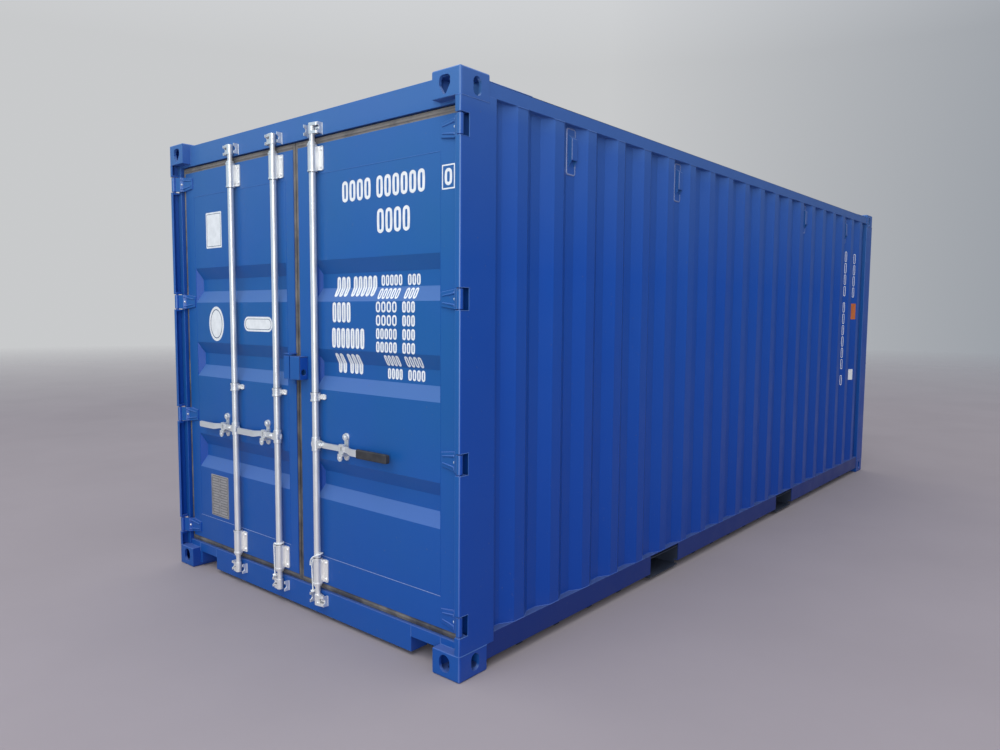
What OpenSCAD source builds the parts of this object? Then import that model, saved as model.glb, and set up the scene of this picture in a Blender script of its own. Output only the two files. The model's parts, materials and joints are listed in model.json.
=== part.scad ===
// Twenty-foot freight container with two hinged door leaves, three lock rods
// and lift-to-release handles. Millimetres, +Z up. X runs along the length
// with the doors at the -X end, and the origin is on the ground at the centre.

/* [Envelope] */
// Length over the corner castings
length = 6058; // [5400:1:7000]
// Width over the corner castings
width = 2438; // [2200:1:2600]
// Height from the ground to the top of the castings
height = 2591; // [2300:1:2900]

/* [Corner castings] */
// Size of a casting along the length
casting_x = 178; // [170:1:200]
// Size of a casting across the width
casting_y = 162; // [155:1:180]
// Height of a casting
casting_z = 118; // [112:1:140]
// Length of the top and bottom apertures
slot_l = 124.5; // [110:0.5:130]
// Width of the top and bottom apertures
slot_w = 63.5; // [55:0.5:70]
// Distance from the casting's end face to the middle of those apertures
slot_inset_x = 102.5; // [95:0.5:110]
// Distance from the casting's side face to the middle of those apertures
slot_inset_y = 89.5; // [84:0.5:96]
// Wall of the casting under and over its cavity
casting_floor = 28; // [20:1:34]
// Side wall of the casting
casting_wall = 15; // [10:1:22]
// Height of the apertures in the outer faces
side_hole_h = 79.5; // [60:0.5:84]
// Width of the aperture in the end face
end_hole_w = 63.5; // [50:0.5:70]
// Width of the aperture in the long side
side_hole_w = 51; // [40:1:64]
// Rounding of the casting's upright edge
casting_r = 14; // [6:1:14]
// Rounding of the casting's edges round its twist-lock face
casting_face_r = 9; // [3:1:14]
// Rounding of the casting's edges next to the post
casting_back_r = 4; // [2:1:8]
// Corner radius of an upper casting's end aperture
shield_r = 20; // [10:1:26]
// Radius at the narrow lower end of that aperture
shield_tip_r = 12; // [8:1:20]

/* [Door posts] */
// Length of the post's side face
post_x = 226; // [190:1:260]
// Width of the post's front leg
post_leg = 29; // [22:1:34]
// Plate thickness of the post
post_t = 6; // [4:0.5:8]
// Outer radius of the post's front corner
post_r = 11; // [9:1:14]
// Distance from the side plane to the door jamb
jamb_inset = 49; // [44:1:60]
// Distance from the door end to the jamb's front flange
jamb_front = 45; // [42:1:56]
// Depth of the jamb channel
jamb_depth = 113; // [90:1:140]
// Flange length of the jamb channel
jamb_flange = 40; // [30:1:42]
// Thickness of the jamb channel
jamb_t = 10; // [6:1:12]

/* [End posts] */
// Length of the blind-end post's side face
end_post_x = 180; // [179:1:220]
// Width of the blind-end post's end face
end_post_y = 92; // [70:1:120]

/* [End frames] */
// Distance from the door end to the header and sill faces
header_s = 50; // [48:1:70]
// Depth of the header along the length
header_depth = 90; // [60:1:120]
// Distance from the casting tops down to the header's underside
header_under = 131; // [124:1:140]
// Gap between the header's top and the top of the castings
header_drop = 13; // [8:1:30]
// Plate thickness of headers and sills
header_t = 4; // [3:0.5:8]
// Top of the door sill
sill_top = 150; // [130:1:160]
// Underside of the door sill
sill_bottom = 22; // [14:1:40]
// Depth of the sill along the length
sill_depth = 105; // [90:1:140]
// Width of the notch beside each lower casting
notch_w = 172; // [150:1:220]
// Width of the sill left between a notch and its casting
notch_tab = 20; // [12:1:30]
// Height of the notch's top above the ground
notch_z = 95; // [80:1:110]

/* [Side rails] */
// Inset of rails and walls from the casting's side plane
side_inset = 4; // [2:1:10]
// Size of the square top rail
top_rail = 60; // [50:1:80]
// Distance from the casting tops down to the top rail
top_rail_drop = 31; // [24:1:50]
// Wall of the top rail
top_rail_t = 4; // [3:0.5:6]
// Underside of the bottom rail
bottom_rail_z = 46; // [40:1:60]
// Top of the bottom rail
rail_top = 160; // [156:1:176]
// Thickness of the bottom rail
rail_t = 4.5; // [3:0.5:6]
// Width of the bottom rail's top flange
rail_flange = 48; // [44:1:52]
// Width of the bottom rail's lower lip
rail_lip = 28; // [20:1:40]

/* [Side walls] */
// Sheet thickness of walls and roof
sheet = 2; // [1.5:0.1:4]
// Pitch of the side corrugations
side_pitch = 278; // [270:1:300]
// Outer flat of a side corrugation
side_crest = 72; // [60:1:90]
// Slope of a side corrugation, measured along the wall
side_slope = 68; // [50:1:72]
// Depth of the side corrugations
side_depth = 36; // [25:1:40]
// Least flat between a post and the first side corrugation
side_end = 60; // [20:1:80]

/* [End wall] */
// Pitch of the end corrugations
end_pitch = 250; // [220:1:280]
// Outer flat of an end corrugation
end_crest = 104; // [90:1:120]
// Slope of an end corrugation, measured along the wall
end_slope = 18; // [12:1:30]
// Depth of the end corrugations
end_depth = 45; // [30:1:50]
// Least flat between a post and the first end corrugation
end_end = 80; // [20:1:100]

/* [Roof] */
// Pitch of the roof corrugations
roof_pitch = 209; // [180:1:230]
// Flat top of a roof corrugation
roof_crest = 91; // [70:1:100]
// Slope of a roof corrugation, measured along the roof
roof_slope = 14; // [10:1:24]
// Height of a roof corrugation
roof_rise = 20; // [10:1:22]
// Least flat between a header and the first roof corrugation
roof_end = 40; // [20:1:80]
// Flat margin at each side of the roof
roof_margin = 110; // [80:1:160]
// Length of the doubler plates at the roof's corners
gusset_l = 300; // [200:1:400]
// Thickness of the doubler plates at the roof's corners
gusset_t = 3; // [2:0.5:5]

/* [Base] */
// Top of the cross members
base_top = 142; // [138:1:146]
// Underside of the cross members
base_bottom = 20; // [14:1:30]
// Flange width of a cross member
cross_w = 45; // [35:1:60]
// Thickness of a cross member
cross_t = 4; // [3:0.5:6]
// Greatest spacing of the cross members
cross_pitch = 300; // [260:1:340]
// Thickness of the floor boards
floor_t = 28; // [24:1:34]
// Distance from the door end to the middle of the first fork pocket
pocket_1 = 1835; // [1700:1:2000]
// Distance between the middles of the fork pockets
pocket_pitch = 2016; // [1900:1:2100]
// Clear width of a fork pocket
pocket_w = 350; // [320:1:380]
// Plate thickness of a fork pocket
pocket_t = 6; // [4:1:8]
// Width of the strap under each mouth of a fork pocket
strap_w = 200; // [120:1:300]
// Fit-up gap between plates that are welded edge to edge
fit_gap = 0.2; // [0.1:0.05:0.3]

/* [Door leaves] */
// Distance from the door end to the leaf's outer face
leaf_s = 60; // [58:1:80]
// Thickness of the leaf frame
leaf_t = 50; // [45:1:60]
// Gap from the sill's top to the leaves
leaf_under = 33; // [28:1:50]
// Gap from the leaves to the header
leaf_over = 36; // [30:1:50]
// Gap from the jamb to the leaf's outer edge
leaf_gap = 27; // [20:1:32]
// Edge of the left leaf, measured from the middle
left_seam = 26; // [18:1:34]
// Edge of the right leaf, measured from the middle
right_seam = 18; // [10:1:26]
// Width of the outer stile
outer_stile = 96; // [80:1:110]
// Width of the left leaf's inner stile
left_stile = 68; // [56:1:80]
// Width of the right leaf's inner stile
right_stile = 128; // [110:1:140]
// Height of the leaf's top and bottom members
leaf_rail = 147; // [120:1:160]
// Wall of the leaf frame's tubes
leaf_wall = 3; // [2:0.5:5]
// Depth of the grooves in the door panels
groove_depth = 36; // [25:1:42]
// Height of the middle of the upper groove
groove_1 = 1747; // [1730:1:1790]
// Height of the middle of the middle groove
groove_2 = 1302; // [1280:1:1320]
// Height of the middle of the lower groove
groove_3 = 738; // [700:1:760]
// Flat bottom of a groove
groove_flat = 72; // [50:1:90]
// Slope of a groove, measured up the panel
groove_slope = 68; // [50:1:75]
// Slope at the ends of a groove, measured across the panel
groove_end = 26; // [16:1:40]

/* [Door seals] */
// Gap between the seal and the jamb
seal_gap = 5; // [3:1:8]
// Gap between the two seals at the middle
seal_split = 6; // [5:0.5:10]
// Clearance of the seals over the sill and under the header
seal_clear = 5; // [4:1:8]
// Distance from the leaf's outer face to the seal's flat strip
seal_back = 4; // [3:1:12]
// Thickness of the seal's flat strip
seal_t = 17; // [8:1:20]
// Radius of the round bead along the middle of the strip
bead_r = 9; // [6:0.5:9.5]
// Distance from the strip's front back to the middle of the bead
bead_in = 5; // [0:1:8]

/* [Hinges] */
// Distance from a leaf's ends to the outer hinges
hinge_inset = 64; // [58:1:90]
// Height of the second hinge above the leaf's bottom
hinge_2_up = 769; // [700:1:800]
// Distance of the third hinge below the leaf's top
hinge_3_down = 775; // [700:1:800]
// Distance from the side plane to the hinge pins
pin_inset = 17; // [16:1:20]
// Distance from the door end to the hinge pins
pin_s = 17; // [16:1:20]
// Diameter of a hinge pin
pin_d = 16; // [12:1:18]
// Radial clearance between a hinge pin and its blade
pin_clear = 0.5; // [0.3:0.1:1]
// Outer diameter of a hinge knuckle
knuckle_d = 29; // [26:1:31]
// Height of a hinge blade at its knuckle
blade_h = 84; // [70:1:90]
// Height of a hinge blade at its free end
blade_tip_h = 60; // [40:1:80]
// Reach of a hinge blade over the leaf
blade_reach = 88; // [60:1:94]
// Thickness of a blade where it lies in front of the seal
blade_t = 13; // [8:1:16]
// Thickness of the hinge lugs
lug_t = 12; // [8:1:16]
// Gap between a blade and the lugs over and under it
lug_gap = 5; // [2:1:8]
// Length of the hinge window in the post's side face
window_x = 56; // [50:1:60]

/* [Lock rods] */
// Outer diameter of a lock rod
rod_d = 34; // [28:1:34]
// Distance from the door end to the rods' centre line
rod_s = 30; // [29:1:32]
// Side position of the first rod on the left leaf
rod_1_y = 580; // [500:1:600]
// Side position of the second rod on the left leaf
rod_2_y = 160; // [125:1:170]
// Side position of the rod on the right leaf
rod_3_y = 183; // [180:1:220]
// Radial clearance of a rod in its bearings
rod_clear = 0.6; // [0.4:0.1:1]
// Height of the anti-rack rings next to the end bearings
ring_h = 8; // [5:1:12]
// Radial step of the anti-rack rings
ring_out = 3; // [2:0.5:4]
// Gap between a ring and its bearing
ring_gap = 2; // [1:0.5:4]
// Diameter of the neck between a ring and the cam
neck_d = 27; // [20:1:30]

/* [Rod bearings] */
// Wall of the bearing housings
bearing_wall = 4.5; // [3:0.5:5]
// Height of the end bearing housings
bearing_h = 136; // [110:1:138]
// Distance from a leaf's ends to the end bearings
bearing_inset = 5; // [4:1:10]
// Bottom of the middle guide
guide_z = 1140; // [1100:1:1160]
// Height of the middle guide
guide_h = 43; // [34:1:60]
// Height of the collars round a housing's ends
collar_h = 9; // [5:1:12]
// Radial step of the collars
collar_out = 2.5; // [1:0.5:3]
// Reach of a bearing's foot plate past its housing
foot_out = 32; // [24:1:44]
// Thickness of a foot plate
foot_t = 6; // [4:1:10]
// Distance from a housing's ends to its foot plate
foot_inset = 8; // [4:1:14]
// Corner radius of a foot plate
foot_r = 9; // [4:1:12]

/* [Cams and keepers] */
// Height of a cam
cam_h = 54; // [46:1:60]
// Gap from the header's underside up to the upper cam
cam_over = 6; // [4:1:14]
// Gap from the lower cam up to the sill's top
cam_under = 18; // [10:1:26]
// Reach of a cam's nose from the rod's centre line
cam_reach = 46; // [36:1:48]
// Radius of a cam's nose
nose_r = 11; // [8:1:14]
// Thickness of each jaw of a cam
jaw_t = 15; // [12:1:17]
// Thickness of a keeper's tongue
tongue_t = 10; // [6:1:12]
// Gap between a cam's nose and the keeper's cheeks
cheek_gap = 6; // [5:1:8]
// Thickness of a keeper's cheek
cheek_t = 6; // [4:1:8]
// Reach of a keeper's cheek in front of the header
cheek_reach = 30; // [24:1:34]
// Reach of a keeper's tongue in front of the header
tongue_reach = 32; // [24:1:36]
// Gap between a keeper's tongue and the rod
tongue_gap = 7; // [5:1:9]
// Radius of the hollow in a cheek's front edge
cheek_r = 13; // [8:1:16]

/* [Handles] */
// Height of the handles' centre line
handle_z = 920; // [900:1:930]
// Height of a handle's bar near its pivot
handle_h = 28; // [22:1:32]
// Height of a handle's bar at its free end
handle_end_h = 34; // [28:1:38]
// Thickness of a handle's bar
handle_t = 10; // [8:1:12]
// Length of a left-leaf handle from its rod
handle_1_l = 376; // [340:1:400]
// Length of the long handle from its rod
handle_3_l = 560; // [540:1:620]
// Distance that a handle's free end stands further out
handle_out = 13; // [8:1:15]
// Distance that a handle's free end hangs lower
handle_dip = 6; // [0:1:12]
// Length of the bend in a handle
bend_l = 70; // [50:1:90]
// Distance from the rod to the handle's pivot
pivot_y = 48; // [44:1:56]
// Diameter of the handle's pivot
pivot_d = 14; // [10:1:16]
// Radial clearance of the handle's eye round its pivot
pivot_clear = 0.5; // [0.3:0.1:1]
// Diameter of the pivot's heads
pivot_head_d = 23; // [18:1:26]
// Height of the pivot's heads
pivot_head_h = 4; // [2:0.5:6]
// Radius of the eye at a handle's pivot
eye_r = 15; // [12:1:17]
// Thickness of the ears of a hub
ear_t = 7; // [5:1:9]
// Gap between a handle and the ears of its hub
ear_gap = 1; // [0.5:0.1:2]
// Radius of an ear where it leaves the rod
ear_r = 24; // [20:1:28]
// Height of the hub's sleeve
hub_h = 68; // [60:1:80]
// Wall of the hub's sleeve
hub_wall = 4; // [3:0.5:5]

/* [Long handle's grip] */
// Length of the grip
grip_l = 214; // [160:1:260]
// Wall of the grip round the bar
grip_wall = 5; // [3:0.5:6]
// Corner radius of the grip
grip_r = 6; // [3:1:9]

/* [Retainers] */
// Distance from the rod to the retainer on the left leaf
catch_l = 130; // [115:1:150]
// Distance from the rod to the retainer on the right leaf
catch_3_l = 214; // [190:1:260]
// Length of the block on the handle in front of a retainer
block_l = 36; // [28:1:44]
// Height of the block on the handle
block_h = 46; // [40:1:54]
// Distance that the block stands proud of the bar's faces
block_out = 4; // [2:1:6]
// Width of the slot through the block
block_slot_w = 8; // [5:1:12]
// Height of the slot through the block
block_slot_h = 22; // [14:1:26]
// Radius of a retainer's round lobes
lobe_r = 20; // [13:1:22]
// Height of the upper lobe's middle above the handle's centre line
lobe_up = 56; // [50:1:80]
// Depth of the lower lobe's middle below the handle's centre line
lobe_down = 41; // [30:1:46]
// Width of a retainer's neck
retainer_neck = 28; // [18:1:32]
// Thickness of a retainer's plate
retainer_t = 6; // [4:1:8]
// Diameter of the round boss on the upper lobe
boss_d = 34; // [16:1:38]
// Height of the round boss on the upper lobe
boss_h = 9; // [5:1:12]
// Thickness of the ledge under the handle
ledge_t = 11; // [8:1:14]
// Gap between the ledge and the block that rests over it
ledge_gap = 1; // [0.3:0.1:2]
// Distance from the door end to the ledge's front
ledge_s = 12; // [10:1:20]
// Radius of the round tab that hangs from the ledge's front
tab_r = 17; // [13:1:20]
// Thickness of the tab
tab_t = 6; // [4:1:8]

/* [Lock box] */
// Distance of the box's left side from the middle
box_left = 55; // [45:1:60]
// Distance of the box's right side from the middle
box_right = 82; // [70:1:100]
// Bottom of the lock box
box_z = 1242; // [1200:1:1260]
// Height of the lock box
box_h = 120; // [100:1:140]
// Depth of the lock box
box_depth = 54; // [40:1:56]
// Plate thickness of the lock box
box_t = 4; // [3:0.5:6]
// Height of the oval hole in the box's right side
oval_h = 30; // [30:1:60]
// Width of the oval hole in the box's right side
oval_w = 27; // [14:1:29]
// Height of the oval hole's middle above the box's bottom
oval_up = 38; // [30:1:60]
// Gap between the box and the shelf over its left part
shelf_gap = 10; // [6:1:16]
// Distance that the left back plate hangs below the box
apron_h = 30; // [16:1:50]

/* [Vents] */
// Width of a vent's base plate
vent_w = 66; // [56:1:70]
// Height of a vent's base plate
vent_h = 215; // [180:1:230]
// Thickness of a vent's base plate
vent_t = 3; // [2:0.5:5]
// Corner radius of a vent's base plate
vent_r = 10; // [5:1:20]
// Distance from the top rail down to a vent
vent_drop = 12; // [4:1:40]
// Width of a vent's hood
hood_w = 46; // [36:1:54]
// Height of a vent's hood
hood_h = 163; // [130:1:180]
// Depth of a vent's hood
hood_depth = 26; // [16:1:32]
// Height over which the hood slopes back to the plate at its top
hood_top = 24; // [15:1:40]
// Height over which the sides of the hood slope back at its open lower end
hood_low = 40; // [20:1:60]
// Distance from a vent's top to its hood
hood_inset = 26; // [10:1:30]

/* [Cords] */
// Diameter of the tie-back cords
cord_d = 8; // [6:1:8]

/* [Hidden] */
$fn = 48;
arc_steps = 4;
bend_steps = 6;
// Small step that lets a cut pass right through a face or keeps a piece off a fillet
cut = 1;

half_w = width / 2;
jamb_y = half_w - jamb_inset;
leaf_edge = jamb_y - leaf_gap;
pin_y = half_w - pin_inset;
casting_in = half_w - casting_y;
casting_under = height - casting_z;
header_z = height - header_under;
header_top = height - header_drop;
sill_end = header_s + sill_depth;
leaf_z0 = sill_top + leaf_under;
leaf_z1 = header_z - leaf_over;
hinges = [leaf_z0 + hinge_inset, leaf_z0 + hinge_2_up, leaf_z1 - hinge_3_down,
          leaf_z1 - hinge_inset];
window_h = blade_h + 2 * lug_gap;
grooves = [groove_3, groove_2, groove_1];
pockets = [pocket_1, pocket_1 + pocket_pitch];
floor_top = base_top + floor_t;
wall_out = half_w - side_inset;
span_x = length - post_x - end_post_x;
rail_inner = wall_out - rail_flange;
top_rail_z = height - top_rail_drop;
rail_low = top_rail_z - top_rail;
rail_l = length - 2 * casting_x;
seam_mid = (left_seam - right_seam) / 2;
seam_reach = (right_seam + left_seam - seal_split) / 2;
top_bearing_z = leaf_z1 - bearing_inset - bearing_h;
low_bearing_z = leaf_z0 + bearing_inset;
top_cam_z = header_z + cam_over;
low_cam_z = sill_top - cam_under - cam_h;
bore_r = rod_d / 2 + rod_clear;
housing_r = bore_r + bearing_wall;
ear_out = handle_t / 2 + ear_gap + ear_t;

blue = [0.13, 0.3, 0.6];
dark_blue = [0.1, 0.22, 0.5];
zinc = [0.78, 0.79, 0.8];
rubber = [0.2, 0.19, 0.18];

function unit(v) = v / norm(v);
function side_of(v) = [-v[1], v[0]];
function before(p, i) = i > 0 ? unit(p[i] - p[i - 1]) : unit(p[1] - p[0]);
function after(p, i) = i < len(p) - 1 ? unit(p[i + 1] - p[i]) : before(p, i);
function bisector(p, i) = unit(side_of(before(p, i)) + side_of(after(p, i)));
function shifted(p, i, t) = p[i] + bisector(p, i) * t / (bisector(p, i) * side_of(before(p, i)));
function back_line(p, t) = [for (i = [len(p) - 1:-1:0]) shifted(p, i, t)];
function strip(p, t) = concat(p, back_line(p, t));
function reversed(p) = [for (i = [len(p) - 1:-1:0]) p[i]];

// Points of an arc round c from angle a to angle b
function arc(c, r, a, b) = [
    for (i = [0:arc_steps]) let (t = a + (b - a) * i / arc_steps) c + r * [cos(t), sin(t)]
];

// One corner of a rectangle, rounded where its radius isn't zero
function corner(c, r, a) = r > 0 ? arc(c, r, a, a + 90) : [c];

// Rectangle from [0, 0] to [w, h] with four corner radii, from the origin's corner round
function rounded(w, h, r) = concat(
    corner([r[0], r[0]], r[0], 180), corner([w - r[1], r[1]], r[1], 270),
    corner([w - r[2], h - r[2]], r[2], 0), corner([r[3], h - r[3]], r[3], 90));

// Smooth change from v0 to v1 while the first coordinate goes from u0 to u1
function ease(u0, u1, v0, v1) = [
    for (i = [0:bend_steps]) let (t = i / bend_steps)
        [u0 + (u1 - u0) * t, v0 + (v1 - v0) * (1 - cos(180 * t)) / 2]
];

// How many copies of a wave fit in a span with at least the margin at each end
function wave_count(span, pitch, crest, slope, margin) =
    floor((span - crest - 2 * slope - 2 * margin) / pitch) + 1;

// Middle of the first wave when the run of waves is centred in a span
function first_wave(span, pitch, count) = (span - (count - 1) * pitch) / 2;

// Points of one run of trapezoid waves, low flats at 0 and crests at depth
function waves(first, pitch, crest, slope, depth, count) = [
    for (k = [0:count - 1]) let (c = first + k * pitch)
        each [[c - crest / 2 - slope, 0], [c - crest / 2, depth],
              [c + crest / 2, depth], [c + crest / 2 + slope, 0]]
];

module from_doors() {
    translate([-length / 2, 0, 0]) children();
}

module from_blind_end() {
    translate([length / 2, 0, 0]) mirror([1, 0, 0]) children();
}

module both_sides() {
    for (m = [0, 1]) mirror([0, m, 0]) children();
}

// Upright prism from a plan outline of [x from the door end, y] points
module prism(points, z0, z1) {
    translate([0, 0, z0]) linear_extrude(z1 - z0) polygon(points);
}

module block(p0, p1) {
    translate(p0) cube(p1 - p0);
}

// Extrusion along X from x0 to x1 of an outline in y and z
module along_x(x0, x1) {
    translate([x0, 0, 0]) rotate([90, 0, 90]) linear_extrude(x1 - x0) children();
}

// Extrusion along Y from y0 to y1 of an outline in x and z
module along_y(y0, y1) {
    translate([0, y1, 0]) rotate([90, 0, 0]) linear_extrude(y1 - y0) children();
}

module stadium(l, w) {
    for (m = [-1, 1]) translate([m * (l - w) / 2, 0]) circle(d = w);
    square([l - w, w], center = true);
}

// Circles of radius r0 at the origin and r1 at d along the second axis, with their tangents
module egg(r0, r1, d) {
    lean = (r0 - r1) / d;
    rise = sqrt(1 - lean * lean);
    circle(r = r0);
    translate([0, d]) circle(r = r1);
    polygon([[-r0 * rise, r0 * lean], [r0 * rise, r0 * lean],
             [r1 * rise, d + r1 * lean], [-r1 * rise, d + r1 * lean]]);
}

// End aperture of an upper casting: square shoulders that narrow to a round tip
module shield(w, h) {
    tip = [0, h / 2 - shield_tip_r];
    polygon(concat(arc([shield_r - w / 2, shield_r - h / 2], shield_r, 180, 270),
                   arc([w / 2 - shield_r, shield_r - h / 2], shield_r, 270, 360),
                   [[w / 2, 0]], arc(tip, shield_tip_r, 30, 150), [[-w / 2, 0]]));
}

// Casting in its own corner: outer faces at x = 0 and y = 0, twist-lock face at z = 0
module casting() {
    hole_z = (casting_floor + casting_z - casting_wall) / 2;
    face = [casting_face_r, casting_face_r, 0, casting_back_r];
    difference() {
        intersection() {
            linear_extrude(casting_z) polygon(rounded(casting_x, casting_y, [casting_r, 0, 0, 0]));
            along_y(0, casting_y) polygon(rounded(casting_x, casting_z, face));
            along_x(0, casting_x) polygon(rounded(casting_y, casting_z, face));
        }
        block([casting_wall, casting_wall, casting_floor],
              [casting_x - casting_wall, casting_y - casting_wall, casting_z - casting_wall]);
        translate([slot_inset_x, slot_inset_y, -cut]) linear_extrude(casting_floor + 2 * cut)
            stadium(slot_l, slot_w);
        translate([0, slot_inset_y, hole_z]) along_x(-cut, casting_wall + cut) children();
        translate([slot_inset_x, 0, hole_z]) along_y(-cut, casting_wall + cut)
            rotate(90) stadium(side_hole_h, side_hole_w);
    }
}

module four_corners() {
    for (mx = [0, 1], my = [0, 1]) mirror([mx, 0, 0]) mirror([0, my, 0])
        translate([-length / 2, -half_w, 0]) children();
}

module lower_castings() color(blue) four_corners() casting()
    rotate(90) stadium(side_hole_h, end_hole_w);

module upper_castings() color(blue) translate([0, 0, height]) mirror([0, 0, 1]) four_corners()
    casting() shield(end_hole_w, side_hole_h);

// Door post on the +Y side, outer faces at x = 0 and y = half_w
module door_post() {
    outer = concat([[0, half_w - post_leg]], arc([post_r, half_w - post_r], post_r, 180, 90),
                   [[post_x, half_w], [post_x, jamb_y]]);
    back = jamb_front + jamb_depth;
    channel = [[jamb_front, jamb_y + jamb_flange], [jamb_front, jamb_y],
               [back, jamb_y], [back, jamb_y + jamb_flange]];
    difference() {
        union() {
            prism(strip(outer, -post_t), casting_z, rail_low);
            prism(strip(channel, jamb_t), casting_z, casting_under);
            block([back, jamb_y, casting_z], [post_x, jamb_y + post_t, rail_low]);
        }
        block([-cut, jamb_y - cut, casting_under], [casting_x, half_w + cut, height]);
        for (z = hinges)
            block([-cut, half_w - post_leg - cut, z - window_h / 2],
                  [window_x, half_w + cut, z + window_h / 2]);
    }
}

module door_posts() color(blue) from_doors() both_sides() door_post();

module end_posts() {
    outer = [[end_post_x, half_w - side_depth], [end_post_x, half_w], [0, half_w],
             [0, half_w - end_post_y], [end_depth + side_inset, half_w - end_post_y]];
    color(blue) from_blind_end() both_sides()
        prism(strip(outer, post_t), casting_z, casting_under);
}

// Hollow beam across the end: outer face at x = 0, running between the castings
module beam(depth, z0, z1) {
    difference() {
        block([0, -casting_in, z0], [depth, casting_in, z1]);
        block([header_t, -casting_in - cut, z0 + header_t],
              [depth - header_t, casting_in + cut, z1 - header_t]);
    }
}

module door_header() color(blue) from_doors() translate([header_s, 0, 0]) {
    beam(header_depth, header_z, header_top);
    both_sides() block([0, casting_in, header_z], [header_depth, jamb_y, casting_under]);
}

module door_sill() color(blue) from_doors() translate([header_s, 0, 0]) {
    notch_out = casting_in - notch_tab;
    notch_in = notch_out - notch_w;
    difference() {
        beam(sill_depth, sill_bottom, sill_top);
        both_sides() block([-cut, notch_in, sill_bottom - cut],
                           [sill_depth + cut, notch_out, notch_z]);
    }
    both_sides() {
        for (y = [notch_in - header_t, notch_out])
            block([0, y, sill_bottom], [sill_depth, y + header_t, sill_top - header_t]);
        block([0, notch_in, notch_z], [sill_depth, notch_out, notch_z + header_t]);
        block([0, casting_in, casting_z], [sill_depth, jamb_y, sill_top]);
    }
}

module end_header() color(blue) from_blind_end() beam(header_depth, rail_low, header_top);

module end_sill() color(blue) from_blind_end() beam(header_depth, base_bottom, rail_top);

module top_rails() color(blue) both_sides() difference() {
    block([-rail_l / 2, wall_out - top_rail, rail_low], [rail_l / 2, wall_out, top_rail_z]);
    block([-rail_l / 2 - cut, wall_out - top_rail + top_rail_t, rail_low + top_rail_t],
          [rail_l / 2 + cut, wall_out - top_rail_t, top_rail_z - top_rail_t]);
}

// Bottom rail on the +Y side, cut at the fork pockets, with a flat bridge over each mouth
module bottom_rail() {
    line = [[wall_out - rail_lip, bottom_rail_z], [wall_out, bottom_rail_z],
            [wall_out, rail_top], [rail_inner, rail_top]];
    difference() {
        along_x(casting_x, length - casting_x) polygon(strip(line, rail_t));
        block([casting_x - cut, rail_inner - cut, casting_z], [post_x, half_w, rail_top + cut]);
        block([length - end_post_x, rail_inner - cut, casting_z],
              [length - casting_x + cut, half_w, rail_top + cut]);
        for (s = pockets) translate([s, 0, 0])
            block([-pocket_w / 2, rail_inner - cut, bottom_rail_z - cut],
                  [pocket_w / 2, wall_out + cut, rail_top + cut]);
    }
    bridge = pocket_w / 2 - fit_gap;
    for (s = pockets) translate([s, 0, 0])
        block([-bridge, rail_inner, rail_top - rail_t], [bridge, wall_out, rail_top]);
}

module left_bottom_rail() color(blue) from_doors() bottom_rail();

module right_bottom_rail() color(blue) from_doors() mirror([0, 1, 0]) bottom_rail();

side_count = wave_count(span_x, side_pitch, side_crest, side_slope, side_end);
side_first = first_wave(span_x, side_pitch, side_count);

// Corrugated wall on the +Y side, outer crests at y = wall_out
module side_wall() {
    line = concat([[0, 0]],
                  waves(side_first, side_pitch, side_crest, side_slope, side_depth, side_count),
                  [[span_x, 0]]);
    translate([post_x, wall_out - side_depth, rail_top])
        linear_extrude(rail_low - rail_top) polygon(strip(line, -sheet));
}

module left_wall() color(blue) from_doors() side_wall();

module right_wall() color(blue) from_doors() mirror([0, 1, 0]) side_wall();

module end_wall() {
    half = half_w - end_post_y;
    count = wave_count(2 * half, end_pitch, end_crest, end_slope, end_end);
    first = first_wave(2 * half, end_pitch, count);
    line = concat([[0, 0]], waves(first, end_pitch, end_crest, end_slope, end_depth, count),
                  [[2 * half, 0]]);
    color(blue) from_blind_end() difference() {
        translate([end_depth + side_inset, -half, rail_top]) rotate(90)
            linear_extrude(rail_low - rail_top) polygon(strip(line, -sheet));
        both_sides() block([-cut, casting_in, casting_under], [casting_x, half + cut, height]);
    }
}

// Solid of all the raised roof waves, its skin lowered by drop
module roof_waves(drop) {
    count = wave_count(rail_l, roof_pitch, roof_crest, roof_slope, roof_end);
    first = first_wave(rail_l, roof_pitch, count);
    half = wall_out - roof_margin;
    narrow = drop * (sqrt(1 + pow(roof_rise / roof_slope, 2)) - 1) * roof_slope / roof_rise;
    up = waves(first, roof_pitch, roof_crest - 2 * narrow, roof_slope, roof_rise, count);
    translate([0, 0, -drop]) intersection() {
        along_y(-half, half)
            polygon(concat([[0, -sheet]], [[0, 0]], up, [[rail_l, 0]], [[rail_l, -sheet]]));
        along_x(0, rail_l)
            polygon([[-half + drop, -sheet], [half - drop, -sheet], [half - drop, 0],
                     [half - drop - roof_slope, roof_rise], [-half + drop + roof_slope, roof_rise],
                     [-half + drop, 0]]);
    }
}

module roof() color(blue) from_doors() translate([casting_x, 0, top_rail_z]) difference() {
    union() {
        block([0, -wall_out, 0], [rail_l, wall_out, sheet]);
        block([header_s + header_depth - casting_x, -casting_in, 0],
              [length - header_depth - casting_x, casting_in, sheet]);
        translate([0, 0, sheet]) roof_waves(0);
        for (x = [0, rail_l - gusset_l]) both_sides()
            block([x, wall_out - roof_margin, sheet], [x + gusset_l, wall_out, sheet + gusset_t]);
    }
    translate([0, 0, sheet]) roof_waves(sheet);
}

// Channel across the container with its web facing the doors
module cross_member(x) {
    line = [[cross_w, base_bottom], [0, base_bottom], [0, base_top], [cross_w, base_top]];
    half = wall_out - rail_t;
    translate([x, 0, 0]) difference() {
        along_y(-half, half) polygon(strip(line, -cross_t));
        both_sides() block([-cut, wall_out - rail_lip, base_bottom - cut],
                           [cross_w + cut, half + cut, bottom_rail_z + rail_t]);
    }
}

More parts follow.
